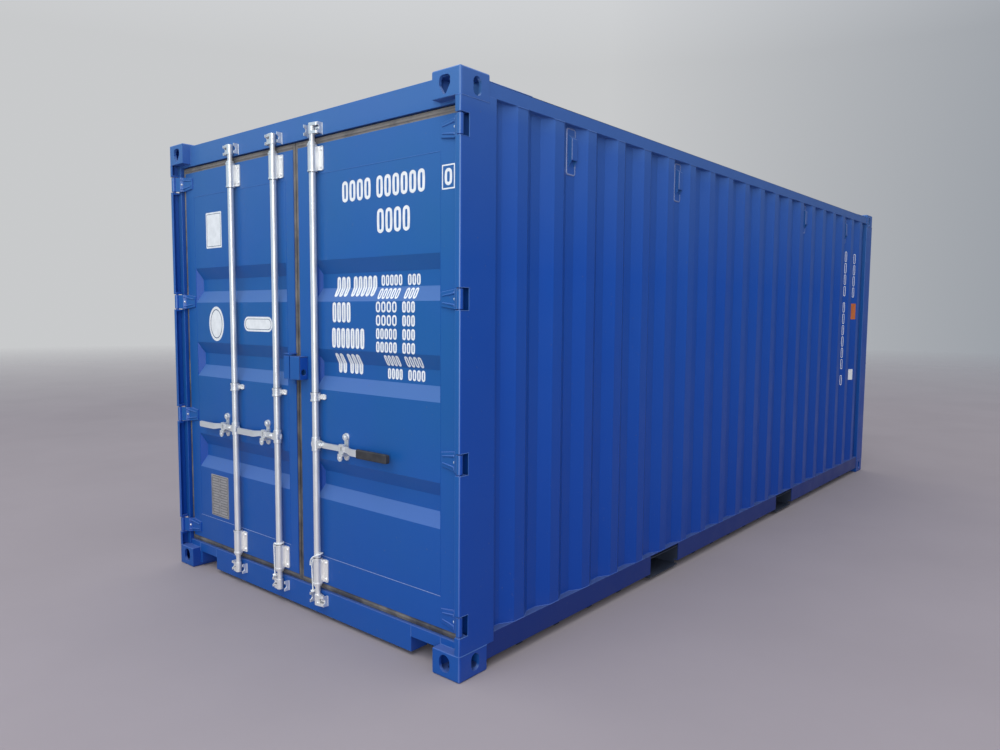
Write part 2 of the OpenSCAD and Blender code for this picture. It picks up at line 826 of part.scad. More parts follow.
// Places of the cross members between two stops
function spread(a, b) = let (n = ceil((b - a) / cross_pitch)) n < 2 ? [] :
    [for (i = [1:n - 1]) a + (b - a) * i / n - cross_w / 2];

module cross_members() {
    half = pocket_w / 2 + pocket_t;
    stops = concat(spread(sill_end, pockets[0] - half), spread(pockets[0] + half, pockets[1] - half),
                   spread(pockets[1] + half, length - header_depth));
    color(dark_blue) from_doors() for (x = stops) cross_member(x);
}

// Fork pockets: a cover plate, two side plates notched for the rail's lip, and two straps
module fork_pockets() {
    half = wall_out - rail_t;
    in = pocket_w / 2;
    out = in + pocket_t;
    cover = base_top - pocket_t;
    color(dark_blue) from_doors() for (s = pockets) translate([s, 0, 0]) {
        block([-out, -half, cover], [out, half, base_top]);
        for (m = [0, 1]) mirror([m, 0, 0]) difference() {
            block([in, -half, base_bottom], [out, half, cover - fit_gap]);
            both_sides() block([in - cut, wall_out - rail_lip, base_bottom - cut],
                               [out + cut, half + cut, bottom_rail_z + rail_t]);
        }
        both_sides() block([fit_gap - in, half - strap_w, base_bottom],
                           [in - fit_gap, half, base_bottom + pocket_t]);
    }
}

module floor() color([0.5, 0.35, 0.2]) from_doors()
    block([sill_end, -rail_inner, base_top], [length - header_depth, rail_inner, floor_top]);

// Vent on the inner flat of the +Y wall: base plate and a hood that opens downwards
module vent() {
    top = rail_low - vent_drop;
    high = top - hood_inset;
    low = high - hood_h;
    inside = hood_depth - sheet;
    difference() {
        union() {
            translate([-vent_w / 2, 0, top - vent_h]) along_y(0, vent_t)
                polygon(rounded(vent_w, vent_h, [vent_r, vent_r, vent_r, vent_r]));
            along_x(-hood_w / 2, hood_w / 2)
                polygon([[0, low], [hood_depth, low + hood_low], [hood_depth, high - hood_top], [0, high]]);
        }
        along_x(sheet - hood_w / 2, hood_w / 2 - sheet)
            polygon([[vent_t, low - cut], [inside, low - cut], [inside, high - hood_top - sheet],
                     [vent_t, high - 2 * sheet - vent_t * hood_top / hood_depth]]);
    }
}

module vents() {
    ks = [1, 5, side_count - 7, side_count - 3];
    color(blue) from_doors() both_sides() for (k = ks)
        translate([post_x + side_first + (k + 0.5) * side_pitch, wall_out - side_depth, 0]) vent();
}

// Two lugs and the pin of one hinge on the +Y side
module hinge_lug(z) {
    outline = [[post_t, half_w - post_leg], [post_t, half_w - post_r - cut],
               [post_r + cut, half_w - post_t], [jamb_front, half_w - post_t],
               [jamb_front, half_w - post_leg]];
    for (m = [-1, 1]) translate([0, 0, z + m * (window_h + lug_t) / 2])
        prism(outline, -lug_t / 2, lug_t / 2);
    translate([pin_s, pin_y, z - window_h / 2]) cylinder(d = pin_d, h = window_h);
}

module hinge_lugs() color(zinc) from_doors() both_sides() for (z = hinges) hinge_lug(z);

// Keeper round a cam at y = 0 with its tongue on the +Y side: forked cheeks and a tongue
module keeper(z0) {
    mid = z0 + cam_h / 2;
    side = cam_reach + cheek_gap;
    front = header_s - cheek_reach;
    for (m = [0, 1]) mirror([0, m, 0]) difference() {
        along_y(side, side + cheek_t) polygon([[header_s, z0], [front, z0], [front, z0 + cam_h],
                                               [header_s, z0 + cam_h]]);
        translate([front, 0, mid]) along_y(side - cut, side + cheek_t + cut) circle(r = cheek_r);
    }
    block([header_s - tongue_reach + cheek_r, rod_d / 2 + tongue_gap, mid - tongue_t / 2],
          [header_s, side, mid + tongue_t / 2]);
}

module keepers(z0) {
    for (y = [rod_1_y, rod_2_y]) translate([0, y, 0]) keeper(z0);
    translate([0, -rod_3_y, 0]) mirror([0, 1, 0]) keeper(z0);
}

module upper_keepers() color(zinc) from_doors() keepers(top_cam_z);

module lower_keepers() color(zinc) from_doors() keepers(low_cam_z);

// Leaf on the +Y side whose inner edge is at y = seam
module leaf_frame(seam, stile) {
    back = leaf_s + leaf_t;
    stile_in = leaf_edge - outer_stile;
    difference() {
        block([leaf_s, seam, leaf_z0], [back, leaf_edge, leaf_z1]);
        block([leaf_s - cut, seam + stile, leaf_z0 + leaf_rail],
              [back + cut, stile_in, leaf_z1 - leaf_rail]);
        block([leaf_s + leaf_wall, seam + leaf_wall, leaf_z0 + leaf_wall],
              [back - leaf_wall, seam + stile - leaf_wall, leaf_z1 - leaf_wall]);
        block([leaf_s + leaf_wall, stile_in + leaf_wall, leaf_z0 + leaf_wall],
              [back - leaf_wall, leaf_edge - leaf_wall, leaf_z1 - leaf_wall]);
        for (z = [leaf_z0, leaf_z1 - leaf_rail])
            block([leaf_s + leaf_wall, seam + stile, z + leaf_wall],
                  [back - leaf_wall, stile_in, z + leaf_rail - leaf_wall]);
    }
}

// Solid of the pressed grooves between y0 and y1, its skin drawn in by drop
module groove_forms(y0, y1, drop) {
    along = drop * (sqrt(1 + pow(groove_depth / groove_slope, 2)) - 1) * groove_slope / groove_depth;
    across = drop * (sqrt(1 + pow(groove_depth / groove_end, 2)) - 1) * groove_end / groove_depth;
    low = groove_flat / 2 + groove_slope - along;
    flat = groove_flat / 2 - along;
    for (z = grooves) intersection() {
        along_y(y0, y1) polygon([[-sheet, z - low], [0, z - low], [groove_depth, z - flat],
                                 [groove_depth, z + flat], [0, z + low], [-sheet, z + low]]);
        prism([[-sheet, y0 + across], [0, y0 + across], [groove_depth, y0 + across + groove_end],
               [groove_depth, y1 - across - groove_end], [0, y1 - across], [-sheet, y1 - across]],
              z - low - cut, z + low + cut);
    }
}

module leaf_panel(seam, stile) {
    y0 = seam + stile;
    y1 = leaf_edge - outer_stile;
    difference() {
        union() {
            block([leaf_s, y0, leaf_z0 + leaf_rail], [leaf_s + sheet, y1, leaf_z1 - leaf_rail]);
            translate([leaf_s + sheet, 0, 0]) groove_forms(y0, y1, 0);
        }
        translate([leaf_s, 0, 0]) groove_forms(y0, y1, sheet);
    }
}

// Rubber seal round a leaf: a flat strip with a round bead along its middle
module seal(seam) {
    s0 = leaf_s + seal_back;
    s1 = s0 + seal_t;
    z0 = sill_top + seal_clear;
    z1 = header_z - seal_clear;
    y0 = seam - seam_reach;
    y1 = jamb_y - seal_gap;
    low = (z0 + leaf_z0) / 2;
    high = (z1 + leaf_z1) / 2;
    inner = (y0 + seam) / 2;
    outer = (y1 + leaf_edge) / 2;
    difference() {
        union() {
            block([s0, y0, z0], [s1, y1, z1]);
            for (z = [low, high]) translate([s0 + bead_in, 0, z]) {
                along_y(inner, outer) circle(r = bead_r);
                for (y = [inner, outer]) translate([0, y, 0]) sphere(r = bead_r);
            }
            for (y = [inner, outer]) translate([s0 + bead_in, y, low])
                cylinder(r = bead_r, h = high - low);
        }
        block([leaf_s - cut, seam, leaf_z0], [s1 + cut, leaf_edge, leaf_z1]);
    }
}

// Blade of one hinge on the +Y side: cranked from the pin over the leaf's face, tapered in height
module hinge_blade(z) {
    knuckle_r = knuckle_d / 2;
    crank = leaf_edge + leaf_gap / 2;
    front = [[pin_s, pin_y - knuckle_r / 2], [pin_s + knuckle_r, crank],
             [leaf_s - blade_t, leaf_edge], [leaf_s - blade_t / 2, leaf_edge - blade_reach]];
    back = [[leaf_s, leaf_edge - blade_reach], [leaf_s, leaf_edge],
            [pin_s + knuckle_r + blade_t / 2, crank + blade_t / 2],
            [pin_s + knuckle_r / 2, pin_y - knuckle_r / 2]];
    difference() {
        union() {
            intersection() {
                prism(concat(front, back), z - blade_h / 2, z + blade_h / 2);
                along_x(pin_s - knuckle_r, leaf_s)
                    polygon([[pin_y, z - blade_h / 2], [pin_y, z + blade_h / 2],
                             [leaf_edge, z + blade_h / 2],
                             [leaf_edge - blade_reach - cut, z + blade_tip_h / 2],
                             [leaf_edge - blade_reach - cut, z - blade_tip_h / 2],
                             [leaf_edge, z - blade_h / 2]]);
            }
            translate([pin_s, pin_y, z - blade_h / 2]) cylinder(d = knuckle_d, h = blade_h);
        }
        translate([pin_s, pin_y, z - blade_h]) cylinder(d = pin_d + 2 * pin_clear, h = 2 * blade_h);
    }
}

// Bearing housing round a rod at y = 0: collars, a saddle and a foot plate on the leaf's face
module bearing(z0, h) {
    plate_h = h - 2 * foot_inset;
    difference() {
        union() {
            translate([rod_s, 0, z0]) {
                cylinder(r = housing_r, h = h);
                cylinder(r = housing_r + collar_out, h = collar_h);
                translate([0, 0, h - collar_h]) cylinder(r = housing_r + collar_out, h = collar_h);
            }
            block([rod_s, -housing_r, z0 + collar_h], [leaf_s, housing_r, z0 + h - collar_h]);
            translate([0, -housing_r, z0 + foot_inset]) along_x(leaf_s - foot_t, leaf_s)
                polygon(rounded(2 * housing_r + foot_out, plate_h, [0, foot_r, foot_r, 0]));
        }
        translate([rod_s, 0, z0 - cut]) cylinder(r = bore_r, h = h + 2 * cut);
    }
}

module rod_bearings() {
    bearing(top_bearing_z, bearing_h);
    bearing(low_bearing_z, bearing_h);
    bearing(guide_z, guide_h);
}

module left_bearings() color(zinc) from_doors() for (y = [rod_1_y, rod_2_y])
    translate([0, y, 0]) mirror([0, 1, 0]) rod_bearings();

module right_bearings() color(zinc) from_doors() translate([0, -rod_3_y, 0])
    mirror([0, 1, 0]) rod_bearings();

// Cam at a rod end: two jaws on a shank, noses towards +Y
module cam(z0) {
    translate([0, 0, z0]) cylinder(d = rod_d, h = cam_h);
    for (z = [z0, z0 + cam_h - jaw_t]) translate([0, 0, z]) linear_extrude(jaw_t)
        egg(rod_d / 2, nose_r, cam_reach - nose_r);
}

// Sleeve on the rod with two ears and the handle's pivot, on the +Y side
module hub() {
    translate([0, 0, handle_z - hub_h / 2]) cylinder(d = rod_d + 2 * hub_wall, h = hub_h);
    for (x = [-ear_out, ear_out - ear_t]) translate([0, 0, handle_z])
        along_x(x, x + ear_t) rotate(-90) egg(ear_r, eye_r, pivot_y);
    translate([0, pivot_y, handle_z]) {
        along_x(-ear_out, ear_out) circle(d = pivot_d);
        for (x = [-ear_out - pivot_head_h, ear_out])
            along_x(x, x + pivot_head_h) circle(d = pivot_head_d);
    }
}

module lock_rod() {
    low_ring = low_bearing_z - ring_gap - ring_h;
    top_ring = top_bearing_z + bearing_h + ring_gap;
    translate([0, 0, low_ring]) cylinder(d = rod_d, h = top_ring + ring_h - low_ring);
    for (z = [low_ring, top_ring]) translate([0, 0, z]) cylinder(r = rod_d / 2 + ring_out, h = ring_h);
    translate([0, 0, low_cam_z]) cylinder(d = neck_d, h = top_cam_z - low_cam_z);
    cam(top_cam_z);
    cam(low_cam_z);
    hub();
}

module rod_1() color(zinc) from_doors() translate([rod_s, rod_1_y, 0]) lock_rod();

module rod_2() color(zinc) from_doors() translate([rod_s, rod_2_y, 0]) lock_rod();

module rod_3() color(zinc) from_doors() translate([rod_s, -rod_3_y, 0]) mirror([0, 1, 0]) lock_rod();

// Plan of a handle's bar: straight past its block, then eased outwards
function bar_plan(bend, l) = strip(concat([[-handle_t / 2, pivot_y]],
    [for (p = ease(bend, bend + bend_l, 0, handle_out)) [-handle_t / 2 - p[1], p[0]]],
    [[-handle_t / 2 - handle_out, l]]), -handle_t);

// Front outline of a handle's bar: it widens, dips and ends in rounded corners
function bar_front(bend, l, end_r) = let (half = handle_end_h / 2) concat(
    [[pivot_y, -handle_h / 2]],
    ease(bend, bend + bend_l, -handle_h / 2, -handle_dip - half),
    corner([l - end_r, end_r - handle_dip - half], end_r, 270),
    corner([l - end_r, half - handle_dip - end_r], end_r, 0),
    reversed(ease(bend, bend + bend_l, handle_h / 2, half - handle_dip)),
    [[pivot_y, handle_h / 2]]);

// Handle from its pivot towards +Y with a slotted block at the retainer
module handle_bar(l, catch, end_r) {
    bend = catch + block_l / 2 + block_out;
    block_x = handle_t / 2 + block_out;
    translate([0, 0, handle_z]) difference() {
        union() {
            intersection() {
                prism(bar_plan(bend, l), -block_h, block_h);
                along_x(-rod_d, rod_d) polygon(bar_front(bend, l, end_r));
            }
            translate([0, pivot_y, 0]) along_x(-handle_t / 2, handle_t / 2) circle(r = eye_r);
            translate([0, catch - block_l / 2, -block_h / 2]) along_x(-block_x, block_x)
                polygon(rounded(block_l, block_h, [block_out, block_out, block_out, block_out]));
        }
        translate([0, pivot_y, 0]) along_x(-rod_d, rod_d) circle(r = pivot_d / 2 + pivot_clear);
        block([-rod_d, catch - block_slot_w / 2, -block_slot_h / 2],
              [rod_d, catch + block_slot_w / 2, block_slot_h / 2]);
    }
}

module handle_1() color(zinc) from_doors() translate([rod_s, rod_1_y, 0])
    handle_bar(handle_1_l, catch_l, handle_h / 3);

module handle_2() color(zinc) from_doors() translate([rod_s, rod_2_y, 0])
    handle_bar(handle_1_l, catch_l, handle_h / 3);

module handle_3() color(zinc) from_doors() translate([rod_s, -rod_3_y, 0]) mirror([0, 1, 0])
    handle_bar(handle_3_l, catch_3_l, 0);

// Moulded sleeve over the end of the long handle
module handle_grip() {
    out = handle_end_h / 2 + grip_wall;
    wide = handle_t + 2 * grip_wall;
    start = handle_3_l - grip_l;
    color([0.12, 0.12, 0.12]) from_doors() translate([rod_s, -rod_3_y, handle_z - handle_dip])
        mirror([0, 1, 0]) difference() {
            intersection() {
                translate([-handle_out - wide / 2, 0, -out]) along_y(start, handle_3_l + grip_wall)
                    polygon(rounded(wide, 2 * out, [grip_r, grip_r, grip_r, grip_r]));
                translate([0, start, -out]) along_x(-rod_d, rod_d)
                    polygon(rounded(grip_l + grip_wall, 2 * out, [0, 2 * grip_r, 2 * grip_r, 0]));
            }
            block([-handle_out - handle_t / 2, start - cut, -handle_end_h / 2],
                  [-handle_out + handle_t / 2, handle_3_l, handle_end_h / 2]);
        }
}

// Retainer on the leaf's face: plate with two lobes, a boss, and the ledge the handle rests over
module retainer() {
    back = leaf_s - retainer_t;
    ledge_z = handle_z - block_h / 2 - ledge_gap;
    translate([0, 0, handle_z]) {
        along_x(back, leaf_s) {
            translate([0, lobe_up]) circle(r = lobe_r);
            translate([0, -lobe_down]) circle(r = lobe_r);
            translate([-retainer_neck / 2, -lobe_down]) square([retainer_neck, lobe_up + lobe_down]);
        }
        translate([0, 0, lobe_up]) along_x(back - boss_h, back) circle(d = boss_d);
    }
    translate([ledge_s, -block_l / 2, ledge_z - ledge_t]) linear_extrude(ledge_t)
        polygon(rounded(back - ledge_s, block_l, [block_out, 0, 0, block_out]));
    translate([0, 0, ledge_z - ledge_t - tab_r / 2]) along_x(ledge_s, ledge_s + tab_t)
        circle(r = tab_r);
}

module left_retainers() color(zinc) from_doors() for (y = [rod_1_y, rod_2_y])
    translate([0, y + catch_l, 0]) retainer();

module right_retainer() color(zinc) from_doors() translate([0, -rod_3_y - catch_3_l, 0]) retainer();

// Lock box on the right leaf, open underneath, its left side ending at the seam
module lock_box() {
    s0 = leaf_s - box_depth;
    s1 = s0 + box_t + fit_gap;
    edge = seam_mid - seal_split / 2;
    under = box_z + box_h - box_t;
    color(blue) from_doors() {
        block([s0, -box_right, box_z], [s0 + box_t, edge, box_z + box_h]);
        block([s1, -box_right, under], [leaf_s, edge, box_z + box_h]);
        difference() {
            block([s1, -box_right, box_z], [leaf_s, box_t - box_right, under - fit_gap]);
            translate([s0 + box_depth / 2, 0, box_z + oval_up])
                along_y(-box_right - cut, cut + box_t - box_right) rotate(90) stadium(oval_h, oval_w);
        }
    }
}

// Rest of the box on the left leaf, with a back plate below it and a shelf above it
module left_box_plate() {
    s0 = leaf_s - box_depth;
    edge = seam_mid + seal_split / 2;
    top = box_z + box_h;
    color(blue) from_doors() {
        difference() {
            block([s0, edge, box_z], [leaf_s, box_left, top]);
            block([s0 + box_t, edge - cut, box_z - cut], [leaf_s + cut, box_left - box_t, top - box_t]);
        }
        block([leaf_s - box_t, left_seam, box_z - apron_h],
              [leaf_s, box_left, top + shelf_gap + box_t]);
        block([s0, edge, top + shelf_gap],
              [leaf_s - box_t / 2, box_left, top + shelf_gap + box_t]);
    }
}

module left_leaf_frame() color(blue) from_doors() leaf_frame(left_seam, left_stile);

module left_leaf_panel() color(blue) from_doors() leaf_panel(left_seam, left_stile);

module left_seal() color(rubber) from_doors() seal(left_seam);

module left_hinge_blades() color(blue) from_doors() for (z = hinges) hinge_blade(z);

module right_leaf_frame() color(blue) from_doors() mirror([0, 1, 0])
    leaf_frame(right_seam, right_stile);

module right_leaf_panel() color(blue) from_doors() mirror([0, 1, 0])
    leaf_panel(right_seam, right_stile);

module right_seal() color(rubber) from_doors() mirror([0, 1, 0]) seal(right_seam);

module right_hinge_blades() color(blue) from_doors() mirror([0, 1, 0])
    for (z = hinges) hinge_blade(z);

// One ring of points round a cord's centre line
function ring(c, d) = let (u = unit(cross(d, [0.31, 0.17, 0.94])), v = cross(d, u))
    [for (a = [0:45:315]) c + cord_d / 2 * (cos(a) * u + sin(a) * v)];

module tube(path) {
    n = len(path);
    rings = [for (i = [0:n - 1])
        each ring(path[i], unit(path[min(i + 1, n - 1)] - path[max(i - 1, 0)]))];
    sides = [for (i = [0:n - 2], j = [0:7])
        [8 * i + j, 8 * i + (j + 1) % 8, 8 * i + 8 + (j + 1) % 8, 8 * i + 8 + j]];
    polyhedron(rings, concat(sides, [[for (j = [7:-1:0]) j]], [[for (j = [0:7]) 8 * (n - 1) + j]]));
}

// Route of the second rod's cord: a loose loop round the rod, then a tail beside it
cord_2_path = [
    [45.5, -15.5, 338], [51.2, -5.7, 337], [51.2, 5.7, 336], [45.5, 15.5, 335], [35.7, 21.2, 334],
    [24.3, 21.2, 333], [14.5, 15.5, 333], [8.8, 5.7, 332], [8.8, -5.7, 332], [14, -16, 332],
    [16, -27, 328], [19, -35, 318], [21, -38, 302], [22, -39, 284], [23, -40, 264], [24, -41, 242],
    [25, -42, 220], [26, -43, 198], [27, -44, 178], [28, -45, 160], [29, -46, 144]
];

// Route of the third rod's cord: up from its tail, behind the rod and back across its front
cord_3_path = [
    [30, -42, 140], [29, -42, 158], [28, -42, 180], [27, -42, 204], [26, -42, 228], [25, -41, 252],
    [24, -41, 276], [26, -40, 296], [31, -37, 314], [38, -31, 328], [46, -22, 337], [52, -11, 342],
    [54, 1, 345], [51, 13, 348], [44, 23, 350], [34, 27, 351], [23, 25, 349], [13, 18, 345],
    [7, 8, 340], [4, -3, 334], [4, -14, 325], [5, -24, 313], [8, -31, 299], [11, -36, 284]
];

module cord_2() color("white") from_doors() translate([0, rod_2_y, 0]) mirror([0, 1, 0])
    tube(cord_2_path);

module cord_3() color("white") from_doors() translate([0, -rod_3_y, 0]) mirror([0, 1, 0])
    tube(cord_3_path);

lower_castings();
upper_castings();
door_posts();
end_posts();
door_header();
door_sill();
end_header();
end_sill();
top_rails();
left_bottom_rail();
right_bottom_rail();
left_wall();
right_wall();
end_wall();
roof();
cross_members();
fork_pockets();
floor();
vents();
hinge_lugs();
upper_keepers();
lower_keepers();
left_leaf_frame();
left_leaf_panel();
left_seal();
left_hinge_blades();
left_bearings();
left_retainers();
left_box_plate();
right_leaf_frame();
right_leaf_panel();
right_seal();
right_hinge_blades();
right_bearings();
right_retainer();
lock_box();
rod_1();
rod_2();
rod_3();
handle_1();
handle_2();
handle_3();
handle_grip();
cord_2();
cord_3();
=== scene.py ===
"""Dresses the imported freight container: paint, zinc, rubber, timber, cords and small fasteners.

Lengths in the builders below are millimetres. They become metres when a piece is made.
There s is a distance behind the door end, y runs to the left of someone facing the doors,
z is a height above the ground, and a lat is an offset to the photograph's right.
"""

import json
import math

import bmesh
import bpy
from mathutils import Matrix, Vector


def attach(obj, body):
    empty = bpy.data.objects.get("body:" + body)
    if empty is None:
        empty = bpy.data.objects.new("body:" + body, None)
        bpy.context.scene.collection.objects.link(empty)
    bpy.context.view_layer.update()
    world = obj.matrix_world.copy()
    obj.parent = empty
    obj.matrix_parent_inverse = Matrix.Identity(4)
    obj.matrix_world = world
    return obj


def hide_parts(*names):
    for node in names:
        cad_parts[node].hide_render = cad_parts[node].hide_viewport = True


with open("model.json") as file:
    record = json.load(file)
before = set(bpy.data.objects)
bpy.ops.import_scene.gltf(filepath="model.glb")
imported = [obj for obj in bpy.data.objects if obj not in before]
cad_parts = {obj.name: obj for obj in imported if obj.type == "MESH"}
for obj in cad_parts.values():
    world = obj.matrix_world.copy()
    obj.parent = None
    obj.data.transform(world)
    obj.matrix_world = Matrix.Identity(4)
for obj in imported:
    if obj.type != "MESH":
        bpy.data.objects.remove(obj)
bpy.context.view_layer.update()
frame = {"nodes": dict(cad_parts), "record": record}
NODES = frame["nodes"]
MM = 0.001

# The photograph's camera, solved from the container's own corners
CAMERA_AT = Vector((-5.30785, -3.37142, 1.59046))
CAMERA_TURN = 0.7036
CAMERA_TILT = -0.0812
CAMERA_ROLL = 0.0066
CAMERA_LENS = 27.2415
SENSOR_WIDTH = 36

# Places repeated from the CAD source: ends, castings and frame
DOOR_X = -3029
CASTING_EDGES = (118, 2473)
CASTING_Y = 1057
NOTCH_Y = 865
NOTCH_TOP = 96
JAMB_Y = 1168
SILL_TOP = 150
HEADER_TOP = 2578
RAIL_TOP = 160
RAIL_LOW = 2500
HEADER_S = 50
FLOOR_TOP = 170
FLOOR_SEAMS_Y = (-582, 0, 582)
FLOOR_JOINTS_S = (1500, 2700, 3900, 5100)
SCREWS_S = [330 + 388 * k for k in range(15)]
SCREWS_Y = range(-1120, 1121, 160)
# Courses (s, distance from the middle) of the beads that join a post to its castings
DOOR_POST_BEAD = ((1, 1192), (1, 1208), (4, 1215), (11, 1218.4), (178, 1218.4))
END_POST_BEAD = ((6057.4, 1128), (6057.4, 1218.4), (5881, 1218.4))
# The side walls' waves
SIDE_Y = 1215
SIDE_DEPTH = 36
SIDE_PITCH = 278
SIDE_CREST = 72
SIDE_SLOPE = 68
SIDE_FLAT = 70
SIDE_COUNT = 20
SIDE_START = 226
SIDE_END = 5878
FIRST_CREST = 411
# Vents on the side walls
VENTS = (828, 1940, 4164, 5276)
VENT_Z = 2380.5
VENT_W = 66
VENT_H = 215
HOOD_EDGE = -23
HOOD_DEPTH = 26
HOOD_ENDS = (2339, 2438)
# Door leaves; a seam is the leaf's edge at the middle and the width of its stile there
LEAF_S = 60
LEAF_EDGE = 1143
LEAF_LOW = 183
LEAF_HIGH = 2424
LEAF_RAIL = 147
OUTER_STILE = 96
SEAMS = {"left_door": (26, 68), "right_door": (18, 128)}
GROOVES = (738, 1302, 1747)
GROOVE_DEPTH = 36
GROOVE_REACH = 103.5
GROOVE_SLOPE = 68
HINGES = (247, 952, 1649, 2360)
WINDOW_EDGE = 48
WINDOW_S = (4, 56)
WINDOW_Y = 1218.9
# A hinge blade's rib as (s, distance from the middle, height from the hinge), its outline as
# (distance from the leaf's edge, height) and its rivet as (s, distance from the middle)
BLADE_RIB = ((31, 1157, 30), (46.2, 1141, 25), (52.6, 1066, 15))
BLADE_EDGE = ((3, 42), (88, 30), (88, -30), (3, -42))
BLADE_RIVET = (39, 1150)
# Lock rods by their lat; bearings as low edge, height, bolts' distance from the middle, washer
ROD_S = 30
ROD_RADIUS = 17
RODS = {"first_rod": -580, "second_rod": -160, "third_rod": 183}
BEARINGS = ((188, 136, 42, 8.5), (2283, 136, 42, 8.5), (1140, 43, 10, 5.5))
FOOT_LAT = 38
FOOT_THICK = 6
HANDLE_Z = 920
PIVOT = 48
PIVOT_ENDS = (13, 47)
EAR_EDGE = 34
COLLAR_RADIUS = 18.6
CATCHES = {"first_rod": -130, "second_rod": -130, "third_rod": 214}
# Rivets of a handle's retainer: s, height above the handle, radius
CATCH_RIVETS = ((45, 56, 9), (54, -47, 6), (12, -44, 6))
# Low and high end of the beads beside each lower and upper keeper, and their place across it
KEEPER_BEADS = ((78, 132), (2460, 2518))
KEEPER_EDGE = 58.6

WHITE = (0.88, 0.87, 0.86, 1)
BLUE = (0.0080, 0.072, 0.385, 1)
BLUE_FADED = (0.0170, 0.092, 0.400, 1)
# Faces turned to the doors: the same paint with painted light and sky reflection
BLUE_DOORS_LIT = (0.0135, 0.110, 0.325, 1)
# Paler paint towards the roof
BLUE_PALE_HIGH = (0.0850, 0.185, 0.430, 1)
# Painted shade towards the ground, weaker on faces turned to the doors
BLUE_LOW_SHADE = (0.0035, 0.050, 0.320, 1)
BLUE_DUST = (0.150, 0.145, 0.165, 1)
# Worn paint with a painted highlight on rounded corners, and painted light on top faces
BLUE_WEAR_AND_LIGHT = (0.190, 0.290, 0.560, 1)
# Painted shade for the bottom rails' recessed web
BLUE_SHADE = (0.0060, 0.022, 0.150, 1)
ZINC = (0.84, 0.84, 0.83, 1)
ZINC_DARK = (0.58, 0.58, 0.59, 1)
# Painted light on zinc near the ground
ZINC_LOW_LIGHT = (0.99, 0.96, 0.93, 1)
RUBBER = (0.050, 0.048, 0.055, 1)
RUBBER_PALE = (0.27, 0.24, 0.21, 1)
WAX = (0.008, 0.014, 0.032, 1)
WAX_DUSTY = (0.022, 0.030, 0.052, 1)
PLY = (0.17, 0.085, 0.04, 1)
PLY_PALE = (0.36, 0.21, 0.11, 1)
PLY_DUST = (0.34, 0.30, 0.26, 1)
PLASTIC = (0.022, 0.020, 0.022, 1)
PLASTIC_WORN = (0.05, 0.045, 0.045, 1)
NYLON = (0.90, 0.90, 0.88, 1)
NYLON_SOILED = (0.60, 0.58, 0.55, 1)
PRINT = (0.05, 0.08, 0.16, 1)
TAG = (0.62, 0.16, 0.04, 1)
ALLOY = (0.34, 0.32, 0.31, 1)
PLATE_PRINT = (0.16, 0.15, 0.16, 1)
# Paler coat on frame weld beads: worn paint with a painted highlight
WELD_WEAR_AND_HIGHLIGHT = (0.055, 0.145, 0.430, 1)
# Pale sealant, lighter still with a painted highlight
SEALANT_AND_HIGHLIGHT = (0.25, 0.31, 0.52, 1)
STUDIO = (0.361, 0.315, 0.332, 1)
STUDIO_DARK = tuple(0.94 * c for c in STUDIO[:3]) + (1,)

# The sky's colours, and the lamps: place, aim, width, height and watts
SKY = (0.58, 0.59, 0.60, 1)
SKY_AT_DOORS = (0.33, 0.52, 0.68, 1)
SKY_AT_SIDE = (0.18, 0.21, 0.26, 1)
SKY_ABOVE = (0.98, 1.02, 1.08, 1)
LAMPS = {
    "key": ((-9.0, -1.5, 9.0), (-3.0, 0.0, 1.2), 8.0, 8.0, 430),
    "corner": ((-11.0, -7.2, 2.9), (-2.6, -1.0, 1.4), 2.2, 5.0, 380),
    "fill": ((1.0, -10.0, 8.5), (0.0, -1.2, 1.0), 8.0, 8.0, 90),
}

# Eased edges in millimetres: zinc pieces, the rest, and the nodes that differ
EASE_ANGLE = math.radians(24)
EASE_ZINC = 0.8
EASE = 1.8
EASES = {"lower_castings": 4, "upper_castings": 4, "lock_box": 3, "left_box_plate": 3,
         "left_seal": 4, "right_seal": 4, "end_posts": 8, "handle_grip": 4}

# Route of each cord as (s, lat from its rod, z)
CORD_D = 8
CORD_TWIST = 34
KNOT_RADIUS = 7.4
KNOT_WAVE = 3.5
KNOT_CORD = 3.4
CORD_2 = (
    (45.5, -15.5, 338), (51.2, -5.7, 337), (51.2, 5.7, 336), (45.5, 15.5, 335), (35.7, 21.2, 334),
    (24.3, 21.2, 333), (14.5, 15.5, 333), (8.8, 5.7, 332), (8.8, -5.7, 332), (14, -16, 332),
    (16, -27, 328), (19, -35, 318), (21, -38, 302), (22, -39, 284), (23, -40, 264), (24, -41, 242),
    (25, -42, 220), (26, -43, 198), (27, -44, 178), (28, -45, 160), (29, -46, 144),
)
CORD_3 = (
    (30, -42, 140), (29, -42, 158), (28, -42, 180), (27, -42, 204), (26, -42, 228), (25, -41, 252),
    (24, -41, 276), (26, -40, 296), (31, -37, 314), (38, -31, 328), (46, -22, 337), (52, -11, 342),
    (54, 1, 345), (51, 13, 348), (44, 23, 350), (34, 27, 351), (23, 25, 349), (13, 18, 345),
    (7, 8, 340), (4, -3, 334), (4, -14, 325), (5, -24, 313), (8, -31, 299), (11, -36, 284),
)

# Low and high side of a painted mark above its face
FILM = (0.05, 0.5)
# Rows of zeros on the right leaf: start, end, low edge, high edge, zeros in each group, stroke
CODE_ROWS = (
    (378, 952, 2119, 2219, (4, 6), 16),
    (633, 856, 1957, 2069, (4,), 16),
    (1072, 1116, 2130, 2202, (1,), 14),
)
CODE_FRAME = (1094, 2166)
# Words of the table below them: start, end, zeros in each group
WORDS = ((288, 590, (3, 5)), (293, 433, (4,)), (287, 535, (7,)), (293, 482, (2, 3)))
WORD_EDGES = (1667, 1766)
WORD_PITCH = 126
WORD_STROKE = 13
